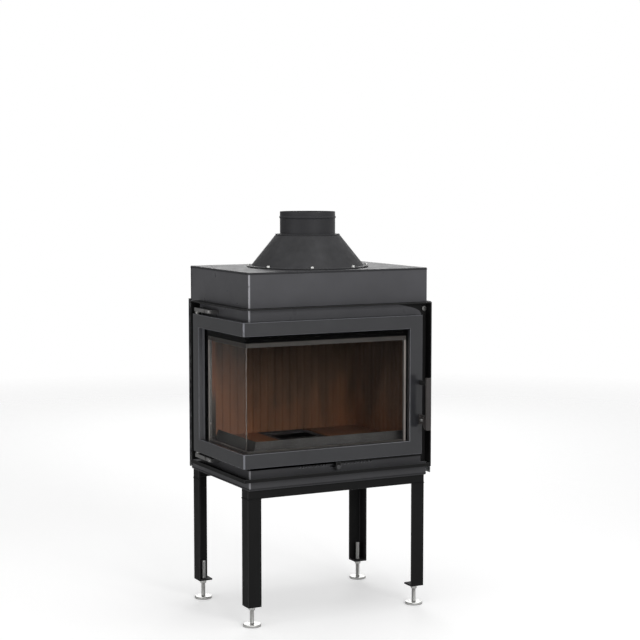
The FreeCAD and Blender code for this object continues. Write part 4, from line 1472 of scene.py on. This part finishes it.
@dataclass
class Door:
    """The L-shaped door: welded frame, two panes with their print, retainers and rope seal."""

    corner_radius: float = 4.0
    corner_steps: int = 6
    edge_radius: float = 1.4
    edge_steps: int = 4
    rebate_gap: float = 1.0
    bead_width: float = 12.0
    bead_thick: float = 1.5
    bead_set: float = 1.6
    bead_skin: float = 0.8
    print_drop: float = 20.0
    print_latch: float = 3.0
    print_hinge: float = 30.5
    print_depth: float = 0.1
    print_set: float = 0.2
    print_edge: float = 0.6
    strip_width: float = 12.0
    strip_latch: float = 9.6
    strip_hinge: float = 38.5
    strip_lift: float = 1.0
    rope_width: float = 10.0
    rope_depth: float = 4.7
    rope_twist: float = 9.0
    rope_strands: int = 3
    rope_swell: float = 0.1
    rope_points: int = 14
    rope_step: float = 2.6
    rope_corner: float = 12.0
    rope_corner_steps: int = 5
    screw_radius: float = 3.0
    screw_height: float = 1.6
    screw_down: float = 16.0
    front_screws: tuple[float, ...] = (0.12, 0.37, 0.63, 0.88)
    side_screws: tuple[float, ...] = (0.2, 0.5, 0.8)
    low: Vector = field(init=False)
    high: Vector = field(init=False)
    wrap: CornerWrap = field(init=False)
    thick: float = field(init=False)
    pane_low: Vector = field(init=False)
    pane_high: Vector = field(init=False)
    opening: dict[str, float] = field(init=False)

    def __post_init__(self) -> None:
        """Read the door's places from its solids."""
        low, high = around("door_top_rail", "door_bottom_rail")
        self.low, self.high = low, high
        self.wrap = CornerWrap(low.x, low.y, self.corner_radius * MM)
        self.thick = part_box("door_latch_stile")[1].y - low.y
        self.pane_low, self.pane_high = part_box("front_glass")
        self.opening = {
            "front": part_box("door_latch_stile")[0].x - low.x,
            "side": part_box("door_hinge_stile")[0].y - low.y,
            "bottom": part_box("door_bottom_rail")[1].z,
            "top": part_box("door_top_rail")[0].z,
        }

    def build(self) -> None:
        """Make the frame, prints, rope and screws, and dress the panes and retainers."""
        self.frame()
        self.hinge_bead()
        self.prints()
        self.edge_strips()
        self.rope()
        self.screws()
        dress(0.5, "front_glass", "side_glass")
        dress(0.5, "glass_retainer_top", "glass_retainer_bottom", "glass_retainer_sides")

    def frame(self) -> None:
        """Rails and stiles as one welded frame that runs round the corner."""
        soft = self.edge_radius * MM
        lip = self.pane_low.y - self.low.y
        rebate = self.pane_high.x - self.low.x + self.rebate_gap * MM - self.opening["front"]
        turn = [(soft * (1 - math.sin(a)), soft * (1 - math.cos(a))) for a in quarter(self.edge_steps)]
        profile = [(Edge.OUTER, inset, depth) for depth, inset in turn]
        profile += [(Edge.INNER, inset, depth) for depth, inset in turn[::-1]]
        profile += [(Edge.INNER, 0.0, lip), (Edge.INNER, rebate, lip), (Edge.INNER, rebate, self.thick)]
        profile += [(Edge.OUTER, soft / 2, self.thick), (Edge.OUTER, 0.0, self.thick - soft / 2)]
        ends = {
            "front": (self.high.x - self.low.x, self.opening["front"], 1),
            "side": (-(self.high.y - self.low.y), -self.opening["side"], -1),
        }
        levels = {
            "top": (self.high.z, self.opening["top"], 1),
            "bottom": (self.low.z, self.opening["bottom"], -1),
        }

        def place(sides: tuple[float, float, int], edge: Edge, inset: float) -> float:
            """A run or a height, measured from the frame's outer or inner side."""
            outer, inner, sign = sides
            return outer - sign * inset if edge is Edge.OUTER else inner + sign * inset

        def corner(end: str, level: str) -> list[Vector]:
            """The profile at one of the four corners."""
            return [
                self.wrap.at(place(ends[end], edge, inset), depth, place(levels[level], edge, inset))
                for edge, inset, depth in profile
            ]

        def bend(level: str) -> list[list[Vector]]:
            """The profiles round the upright corner, from the front to the side."""
            rows = [(depth, place(levels[level], edge, inset)) for edge, inset, depth in profile]
            return [[self.wrap.bend(angle, *row) for row in rows] for angle in quarter(self.corner_steps)]

        rings = [corner("front", "top"), *bend("top"), corner("side", "top")]
        rings += [corner("side", "bottom"), *bend("bottom")[::-1], corner("front", "bottom")]
        steps, inner = self.corner_steps, self.edge_steps + 1
        # The corner bends and the edge turns take the edge finish: worn paint with a painted highlight.
        highlight_wear_steps = [*range(1, steps + 1), *range(steps + 4, 2 * steps + 4)]
        highlight_wear_points = [1, 2, inner + 1, inner + 2]
        nodes = ("door_top_rail", "door_bottom_rail", "door_latch_stile", "door_hinge_stile")
        shape = Shape()
        shape.loft(rings, closed=True, highlight_wear_steps=highlight_wear_steps, highlight_wear_points=highlight_wear_points)
        shape.piece("door_frame", DOOR_PAINT, "door", nodes, sharp=50)

    def hinge_bead(self) -> None:
        """Angle bead that covers the outer edge of the side pane along the hinge stile, in a paler paint that
        is painted light on the shaded reveal.
        """
        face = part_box("side_glass")[0].x
        far = self.low.y + self.opening["side"]
        near, proud = far - self.bead_width * MM, face - self.bead_thick * MM
        low, high = self.opening["bottom"], self.opening["top"]
        start, skin = self.low.x + self.bead_set * MM, far - self.bead_skin * MM
        plan = [(start, far), (start, skin), (proud, skin), (proud, near), (face, near), (face, far)]
        shape = Shape()
        shape.prism([Vector((x, y, low)) for x, y in plan], UP * (high - low))
        shape.piece("hinge_stile_bead", BEAD_PAINT, "door", soften=0.3)

    def prints(self) -> None:
        """Black bands fired onto the backs of both panes, along their tops and far sides."""
        thin, edge, sunk = self.print_depth * MM, self.print_edge * MM, self.print_set * MM
        top, bottom = self.pane_high.z - edge, self.pane_low.z + edge
        drop = self.opening["top"] - self.print_drop * MM

        def band(start: float, far: float, end: float) -> list[tuple[float, float]]:
            """The outline of one pane's print."""
            return [(start, drop), (far, drop), (far, bottom), (end, bottom), (end, top), (start, top)]

        back = self.pane_high.y - sunk
        far = self.low.x + self.opening["front"] - self.print_latch * MM
        plan = band(self.pane_low.x + edge, far, self.pane_high.x - edge)
        shape = Shape()
        shape.prism([Vector((x, back, z)) for x, z in plan], BACK * -thin)
        shape.piece("front_pane_print", PRINT, "door")
        side_low, side_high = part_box("side_glass")
        far = self.low.y + self.opening["side"] - self.print_hinge * MM
        plan = band(side_low.y + edge, far, side_high.y - edge)
        shape = Shape()
        shape.prism([Vector((side_high.x - sunk, y, z)) for y, z in plan], RIGHT * -thin)
        shape.piece("side_pane_print", PRINT, "door")

    def edge_strips(self) -> None:
        """Thin pale strips that face the side retainers, half hidden by the prints: a polished trim whose
        pale warm tone is also a painted highlight of the lit pane edges.
        """
        thin, wide = self.print_depth / 2 * MM, self.strip_width * MM
        bottom, top = self.pane_low.z + self.strip_lift * MM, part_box("glass_retainer_top")[0].z
        shape = Shape()
        near = self.low.x + self.opening["front"] - self.strip_latch * MM
        back = self.pane_high.y - thin
        shape.block(Vector((near, back - thin, bottom)), Vector((near + wide, back, top)))
        near = self.low.y + self.opening["side"] - self.strip_hinge * MM
        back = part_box("side_glass")[1].x - thin
        shape.block(Vector((back - thin, near, bottom)), Vector((back, near + wide, top)))
        shape.piece("pane_edge_strips", EDGE_TRIM, "door")

    def rope_path(self) -> list[Vector]:
        """The rope's middle line, as even steps round the door's opening.

        Returns:
            Points of run and height, in metres.
        """
        low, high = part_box("door_gasket")
        half, bow = self.rope_width / 2 * MM, self.rope_corner * MM
        right, left = high.x - self.low.x - half - bow, -(high.y - self.low.y - half) + bow
        top, bottom = high.z - half - bow, low.z + half + bow
        route = []
        for start, (run, height) in enumerate(((right, top), (left, top), (left, bottom), (right, bottom))):
            for angle in quarter(self.rope_corner_steps):
                turn = angle + start * math.pi / 2
                route.append(Vector((run + bow * math.cos(turn), height + bow * math.sin(turn))))
        path = []
        for first, last in zip(route, route[1:] + route[:1]):
            steps = max(1, round((last - first).length / (self.rope_step * MM)))
            path += [first.lerp(last, step / steps) for step in range(steps)]
        return path

    def rope(self) -> None:
        """Twisted rope seal that runs round the back of the door."""
        half = self.rope_width / 2 * MM
        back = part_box("door_gasket")[0].y - self.low.y + self.rope_depth * MM
        middle, flat = (self.thick + back) / 2, (back - self.thick) / 2
        angles = [math.tau * step / self.rope_points for step in range(self.rope_points)]
        path = self.rope_path()
        rings = []
        length = 0.0
        for index, point in enumerate(path):
            following = path[(index + 1) % len(path)]
            way = (following - path[index - 1]).normalized()
            across = Vector((way.y, -way.x))
            twist = math.tau * length / (self.rope_twist * MM)
            ring = []
            for angle in angles:
                swell = 1 - self.rope_swell + self.rope_swell * math.cos(self.rope_strands * angle + twist)
                spot = point + across * (half * swell * math.cos(angle))
                ring.append(self.wrap.at(spot.x, middle + flat * swell * math.sin(angle), spot.y))
            rings.append(ring)
            length += (following - point).length
        shape = Shape()
        shape.loft(rings, closed=True)
        shape.piece("rope_seal", ROPE, "door", ("door_gasket",), sharp=80)

    def screws(self) -> None:
        """Small screws that hold the retainers, seen with the door open."""
        low, high = self.low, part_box("glass_retainer_top")[1]
        z = self.opening["top"] - self.screw_down * MM
        spots = []
        for share in self.front_screws:
            spots.append((Vector((low.x + (high.x - low.x) * share, low.y + self.thick, z)), BACK))
        for share in self.side_screws:
            spots.append((Vector((low.x + self.thick, low.y + (high.y - low.y) * share, z)), RIGHT))
        shape = Shape()
        for foot, axis in spots:
            shape.screw(Head.PAN, self.screw_radius, self.screw_height, foot, axis)
        shape.piece("retainer_screws", ZINC, "door")


@dataclass
class Handle:
    """Tilting handle, bracket and latch."""

    bar_radius: float = 8.0
    buffer_down: float = 17.0
    buffer_sunk: float = 1.0
    buffer_gap: float = 0.6
    buffer_radius: float = 6.4
    buffer_groove: float = 1.0
    buffer_ribs: int = 5

    def build(self) -> None:
        """Make the stand-off's buffer, and dress the handle's solids."""
        self.buffer()
        dress(0.8, "handle_bar", finish=HANDLE_PAINT)
        dress(0.6, "handle_bracket", finish=HANDLE_PAINT)
        dress(0.6, "latch_arm", "latch_striker")
        dress(0.4, "handle_shaft")

    def buffer(self) -> None:
        """Ribbed rubber sleeve on the pin that holds the bar off the door."""
        low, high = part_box("handle_bar")
        bar = self.bar_radius * MM
        foot = Vector((high.x - bar, low.y + 2 * bar - self.buffer_sunk * MM, high.z - self.buffer_down * MM))
        length = (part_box("door_latch_stile")[0].y - foot.y) / MM - self.buffer_gap
        rib = length / self.buffer_ribs
        outer, groove = self.buffer_radius, self.buffer_radius - self.buffer_groove
        rings = []
        for index in range(self.buffer_ribs):
            start = index * rib
            rings += [Ring(groove, start), Ring(outer, start + rib * 0.25), Ring(outer, start + rib * 0.75)]
        rings.append(Ring(groove, length))
        shape = Shape()
        shape.turn(rings, foot, BACK, steps=28)
        shape.piece("stand_off_buffer", RUBBER, "handle")


@dataclass(frozen=True)
class Softbox:
    """A soft lamp, with its place and size in metres and its power in watts."""

    name: str
    spot: tuple[float, float, float]
    wide: float
    tall: float
    power: float

    def hang(self) -> None:
        """Hang the lamp so that it faces the middle of the object."""
        light = bpy.data.lights.new(self.name, "AREA")
        light.shape = "RECTANGLE"
        light.size, light.size_y, light.energy = self.wide, self.tall, self.power
        item = bpy.data.objects.new(self.name, light)
        item.location = self.spot
        middle = (CAD_BOX[0] + CAD_BOX[1]) / 2
        item.rotation_euler = (middle - item.location).to_track_quat("-Z", "Y").to_euler()
        item.visible_camera = False
        bpy.context.scene.collection.objects.link(item)


@dataclass
class Studio:
    """Pale floor, soft lamps, a grey card and the camera."""

    lamps: tuple[Softbox, ...] = (
        Softbox("front_softbox", (0.2, -4.2, 1.8), 2.2, 1.6, 88.0),
        Softbox("side_softbox", (-3.6, -0.6, 0.7), 1.6, 1.2, 30.0),
        Softbox("top_softbox", (0.0, -0.3, 3.4), 2.6, 2.6, 34.0),
        Softbox("rear_softbox", (1.6, 3.4, 2.2), 2.0, 2.0, 40.0),
    )
    floor_radius: float = 7.0
    floor_points: int = 96
    floor_drop: float = 0.2
    fade_start: float = 1.6
    fade_end: float = 5.5
    floor_colour: Colour = (0.86, 0.86, 0.86)
    floor_lift: float = 0.28
    ambient: float = 0.36
    flag_width: float = 1.8
    flag_height: float = 2.0
    flag_far: float = 1.3
    flag_level: float = 0.33
    eye: tuple[float, float, float] = (-2.07097, -4.05916, 1.22356)
    heading: tuple[float, float] = (0.45967, 0.8881)
    pitch_degrees: float = 5.1263
    lens: float = 91.244
    sensor: float = 36.0

    def build(self) -> None:
        """Set up floor, world, lamps, camera and colour handling."""
        self.floor()
        self.world()
        for lamp in self.lamps:
            lamp.hang()
        self.flag()
        self.camera()
        bpy.context.scene.view_settings.view_transform = "Standard"

    def card(self, name: str, corners: Sequence[Vector], material: bpy.types.Material) -> bpy.types.Object:
        """One flat face that isn't part of the object.

        Args:
            name: Its name.
            corners: Its corners, in order.
            material: What it is made of.

        Returns:
            The card.
        """
        data = bpy.data.meshes.new(name)
        data.from_pydata(corners, [], [range(len(corners))])
        data.materials.append(material)
        item = bpy.data.objects.new(name, data)
        bpy.context.scene.collection.objects.link(item)
        return item

    def floor(self) -> None:
        """A round floor that fades into the background far from the object."""
        angles = [math.tau * index / self.floor_points for index in range(self.floor_points)]
        ring = [Vector((math.cos(angle), math.sin(angle), 0)) * self.floor_radius for angle in angles]
        item = self.card("floor", ring, self.floor_material())
        item.location.z = -self.floor_drop * MM

    def floor_material(self) -> bpy.types.Material:
        """Pale floor that turns clear with distance from the object.

        Returns:
            The material.
        """
        tree = ShaderTree("pale_floor")
        tree.plain(Base_Color=self.floor_colour, Roughness=0.9, Specular_IOR_Level=0.1)
        tree.plain(Emission_Color=(1.0, 1.0, 1.0))
        tree.link(tree.span(tree.ray("Is Camera Ray"), 0.0, self.floor_lift, 0.0, 1.0), "Emission Strength")
        reach = tree.tree.nodes.new("ShaderNodeVectorMath")
        reach.operation = "LENGTH"
        tree.tree.links.new(tree.place, reach.inputs[0])
        tree.clear(tree.span(reach.outputs["Value"], 0.0, 1.0, self.fade_start, self.fade_end))
        return tree.material

    def world(self) -> None:
        """White surroundings to look at, and a softer light from all sides."""
        world = bpy.data.worlds.new("studio")
        bpy.context.scene.world = world
        world.use_nodes = True
        nodes, links = world.node_tree.nodes, world.node_tree.links
        nodes.clear()
        path = nodes.new("ShaderNodeLightPath")
        seen = path.outputs["Is Camera Ray"]
        for name in ("Is Glossy Ray", "Is Transmission Ray"):
            either = nodes.new("ShaderNodeMath")
            either.operation = "MAXIMUM"
            links.new(seen, either.inputs[0])
            links.new(path.outputs[name], either.inputs[1])
            seen = either.outputs["Value"]
        mix = nodes.new("ShaderNodeMixShader")
        for index, strength in ((1, self.ambient), (2, 1.0)):
            light = nodes.new("ShaderNodeBackground")
            light.inputs["Color"].default_value = (1.0, 1.0, 1.0, 1.0)
            light.inputs["Strength"].default_value = strength
            links.new(light.outputs["Background"], mix.inputs[index])
        links.new(seen, mix.inputs["Fac"])
        links.new(mix.outputs["Shader"], nodes.new("ShaderNodeOutputWorld").inputs["Surface"])

    def flag(self) -> None:
        """A grey card behind the left side, seen in reflections only."""
        away = Vector((-self.heading[0], self.heading[1], 0)).normalized()
        across = Vector((away.y, -away.x, 0)) * (self.flag_width / 2)
        foot, rise = RIGHT * CAD_BOX[0].x + away * self.flag_far, UP * self.flag_height
        left, right = foot - across, foot + across
        tree = ShaderTree("grey_card")
        tree.plain(Base_Color=(0.0, 0.0, 0.0), Specular_IOR_Level=0.0)
        tree.plain(Emission_Color=(1.0, 1.0, 1.0), Emission_Strength=self.flag_level)
        item = self.card("flag", (left, right, right + rise, left + rise), tree.material)
        item.visible_camera = item.visible_diffuse = False
        item.visible_shadow = item.visible_transmission = False

    def camera(self) -> None:
        """The camera at the viewing angle of the photograph."""
        data = bpy.data.cameras.new("view")
        data.lens = self.lens
        data.sensor_width = self.sensor
        item = bpy.data.objects.new("view", data)
        item.location = self.eye
        pitch = math.radians(self.pitch_degrees)
        ahead = Vector((*self.heading, 0)).normalized() * math.cos(pitch) - UP * math.sin(pitch)
        item.rotation_euler = ahead.to_track_quat("-Z", "Y").to_euler()
        bpy.context.scene.collection.objects.link(item)
        bpy.context.scene.camera = item


def main() -> None:
    """Build and dress every sub-assembly, then the studio round it."""
    logging.basicConfig(level=logging.INFO, format="%(name)s: %(message)s")
    parts = (
        FrontFrame(),
        HingeSet(),
        Casing(),
        SmokeOutlet(),
        Stand(),
        Firebox(),
        AirControl(),
        Door(),
        Handle(),
    )
    for part in parts:
        part.build()
    Studio().build()
    bpy.context.view_layer.update()


if __name__ == "__main__":
    main()
